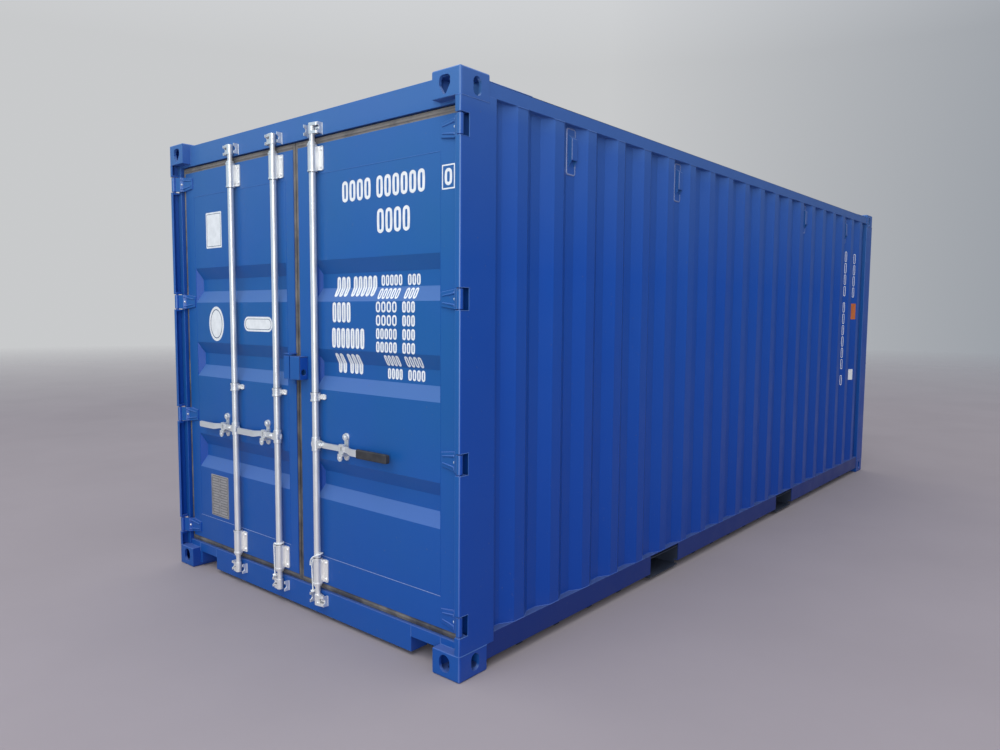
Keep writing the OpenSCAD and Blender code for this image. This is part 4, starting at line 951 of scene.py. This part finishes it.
def make_keeper_welds(materials):
    """Beads where the keepers meet the header and the sill."""
    piece = Piece()
    face = door_face(HEADER_S)
    for lat in RODS.values():
        for ends in KEEPER_BEADS:
            for edge in (-KEEPER_EDGE, KEEPER_EDGE):
                piece.bead([face.at(lat + edge, z, 0.3) for z in ends], 2.0, 5)
    piece.place("keeper_welds", "container", "galvanised", materials["galvanised"])


def leaf_rods(body):
    """The rods that ride on a leaf, each with its lat."""
    return [(rod, lat) for rod, lat in RODS.items() if (lat < 0) == (body == "left_door")]


def make_leaf_trim(body, sign, materials):
    """Panel seams and hinge ribs of the leaf at that sign of lat."""
    seam, stile = SEAMS[body]
    face = door_face(LEAF_S)
    low, high = LEAF_LOW + LEAF_RAIL, LEAF_HIGH - LEAF_RAIL
    inner, outer = sign * (seam + stile), sign * (LEAF_EDGE - OUTER_STILE)
    piece = Piece()
    piece.bead([face.at(inner, high, -0.6), face.at(outer, high, -0.6)], 1.9, 10)
    flat = GROOVE_REACH - GROOVE_SLOPE
    bends = [g + d for g in GROOVES for d in (-GROOVE_REACH, -flat, flat, GROOVE_REACH)]
    for lat in (inner, outer):
        piece.bead([face.at(lat, z, -0.6) for z in sorted([low, high] + bends)], 1.9, 10)
    thick = [3.2 + 1.8 * math.sin(math.pi * k / 16) for k in range(17)]
    for z in HINGES:
        for m in (-1, 1):
            rib = [point(s, -sign * w, z + m * h) for s, w, h in BLADE_RIB]
            piece.tube(smooth_path(rib, 8), thick, 10)
        blade = [face.at(sign * (LEAF_EDGE - a), z + b, 0.6) for a, b in BLADE_EDGE]
        piece.bead(blade, 2.8, 6)
    piece.place(body + "_trim", body, "blue_paint", materials["blue_paint"])
    piece = Piece()
    piece.bead([face.at(inner, low, -0.7), face.at(outer, low, -0.7)], 1.7, 10)
    # Pale coat on the low seam's bead, with a painted highlight
    piece.place(body + "_low_seam", body, "blue_paint", materials["sealant_and_highlight"])


def make_leaf_fasteners(body, sign, materials):
    """Rivets, bearing bolts and bearing bushes of the leaf at that sign of lat."""
    piece = Piece()
    s, w = BLADE_RIVET
    for z in HINGES:
        piece.rivet(point(s, -sign * w, z), Vector((-1, sign * 0.9, 0)), 6)
    foot = door_face(LEAF_S - FOOT_THICK)
    for rod, lat in leaf_rods(body):
        for z0, h, reach, washer in BEARINGS:
            for dz in (-reach, reach):
                piece.bolt(foot.at(lat + FOOT_LAT, z0 + h / 2 + dz, 0), foot.out, washer)
        for s, dz, r in CATCH_RIVETS:
            piece.rivet(door_face(s).at(lat + CATCHES[rod], HANDLE_Z + dz, 0), foot.out, r)
    piece.place(body + "_bolts", body, "galvanised", materials["galvanised"])

    piece = Piece()
    inner, outer, thick = ROD_RADIUS + 0.3, ROD_RADIUS + 4.2, 1.2
    for rod, lat in leaf_rods(body):
        for z0, h, _, _ in BEARINGS:
            for z in (z0 - thick, z0 + h):
                piece.sleeve(point(ROD_S, -lat, z), (0, 0, 1), inner, outer, 0, thick)
    piece.place(body + "_bushes", body, "grip_plastic", materials["grip_plastic"])


def make_rod_trim(materials):
    """Riveted pivot ends on the rods, and collars above and below the ears."""
    for rod, lat in RODS.items():
        way = -1 if lat < 0 else 1
        piece = Piece()
        for s, out in zip(PIVOT_ENDS, (-1, 1)):
            piece.rivet(point(s, -(lat + way * PIVOT), HANDLE_Z), Vector((out, 0, 0)), 8)
        for z in (HANDLE_Z - EAR_EDGE, HANDLE_Z + EAR_EDGE):
            at = point(ROD_S, -lat, z)
            ring = [at + Vector((math.cos(t), math.sin(t), 0)) * COLLAR_RADIUS
                    for t in around(40)]
            piece.bead(ring, 2.0, 4, closed=True)
        piece.place(rod + "_pivot_ends", rod, "galvanised", materials["galvanised"])


def make_floor_trim(materials):
    """Seams and screw rows of the plywood floor."""
    seams = Piece()
    screws = Piece()
    top = Face((DOOR_X, 0, FLOOR_TOP), (1, 0, 0), (0, 1, 0))
    low, high = -0.2, 0.35
    for y in FLOOR_SEAMS_Y:
        seams.plate(top, rounded(5806, 5, 1, 2), 3061.5, y, low, high, 0.1)
    for s in FLOOR_JOINTS_S:
        seams.plate(top, rounded(4, 2326, 1, 2), s, 0, low, high, 0.1)
    head = ((6, 0), (6, 0.5), (4.6, 0.9), (1.6, 0.6))
    for s in SCREWS_S:
        for y in SCREWS_Y:
            screws.lathe(top.at(s, y, low), top.out, head, 10)
    seams.place("floor_seams", "container", "seal_rubber", materials["seal_rubber"])
    screws.place("floor_screws", "container", "galvanised", materials["galvanised"])


def main():
    make_camera()
    materials = {
        "blue_paint": paint(),
        "rail_painted_shade": paint("rail_painted_shade", 0.85),
        "underside_paint": undercoat(),
        "galvanised": zinc(),
        "seal_rubber": rubber(),
        "floor_wood": plywood(),
        "grip_plastic": grip(),
        "cord": rope(),
        "marking": coat("marking_white", WHITE, 0.86),
        "print": coat("border_print", PRINT, 0.86),
        "tag": coat("orange_tag", TAG, 0.86),
        "plate": coat("plate_alloy", ALLOY),
        "plate_print": coat("plate_print", PLATE_PRINT),
        "weld_wear_and_highlight": coat("weld_wear_and_highlight", WELD_WEAR_AND_HIGHLIGHT),
        "sealant_and_highlight": coat("sealant_and_highlight", SEALANT_AND_HIGHLIGHT),
    }
    make_cord("tie_cord_2", CORD_2, "second_rod", "left_door", "cord_2", True, materials["cord"])
    make_cord("tie_cord_3", CORD_3, "third_rod", "right_door", "cord_3", False, materials["cord"])
    dress_nodes(materials)
    make_markings(materials)
    make_stickers(materials)
    make_frame_welds(materials)
    make_vent_rims(materials)
    make_keeper_welds(materials)
    for body, sign in (("left_door", -1), ("right_door", 1)):
        make_leaf_trim(body, sign, materials)
        make_leaf_fasteners(body, sign, materials)
    make_rod_trim(materials)
    make_floor_trim(materials)
    make_lights()
    make_floor()
    bpy.context.scene.view_settings.view_transform = "Standard"


main()
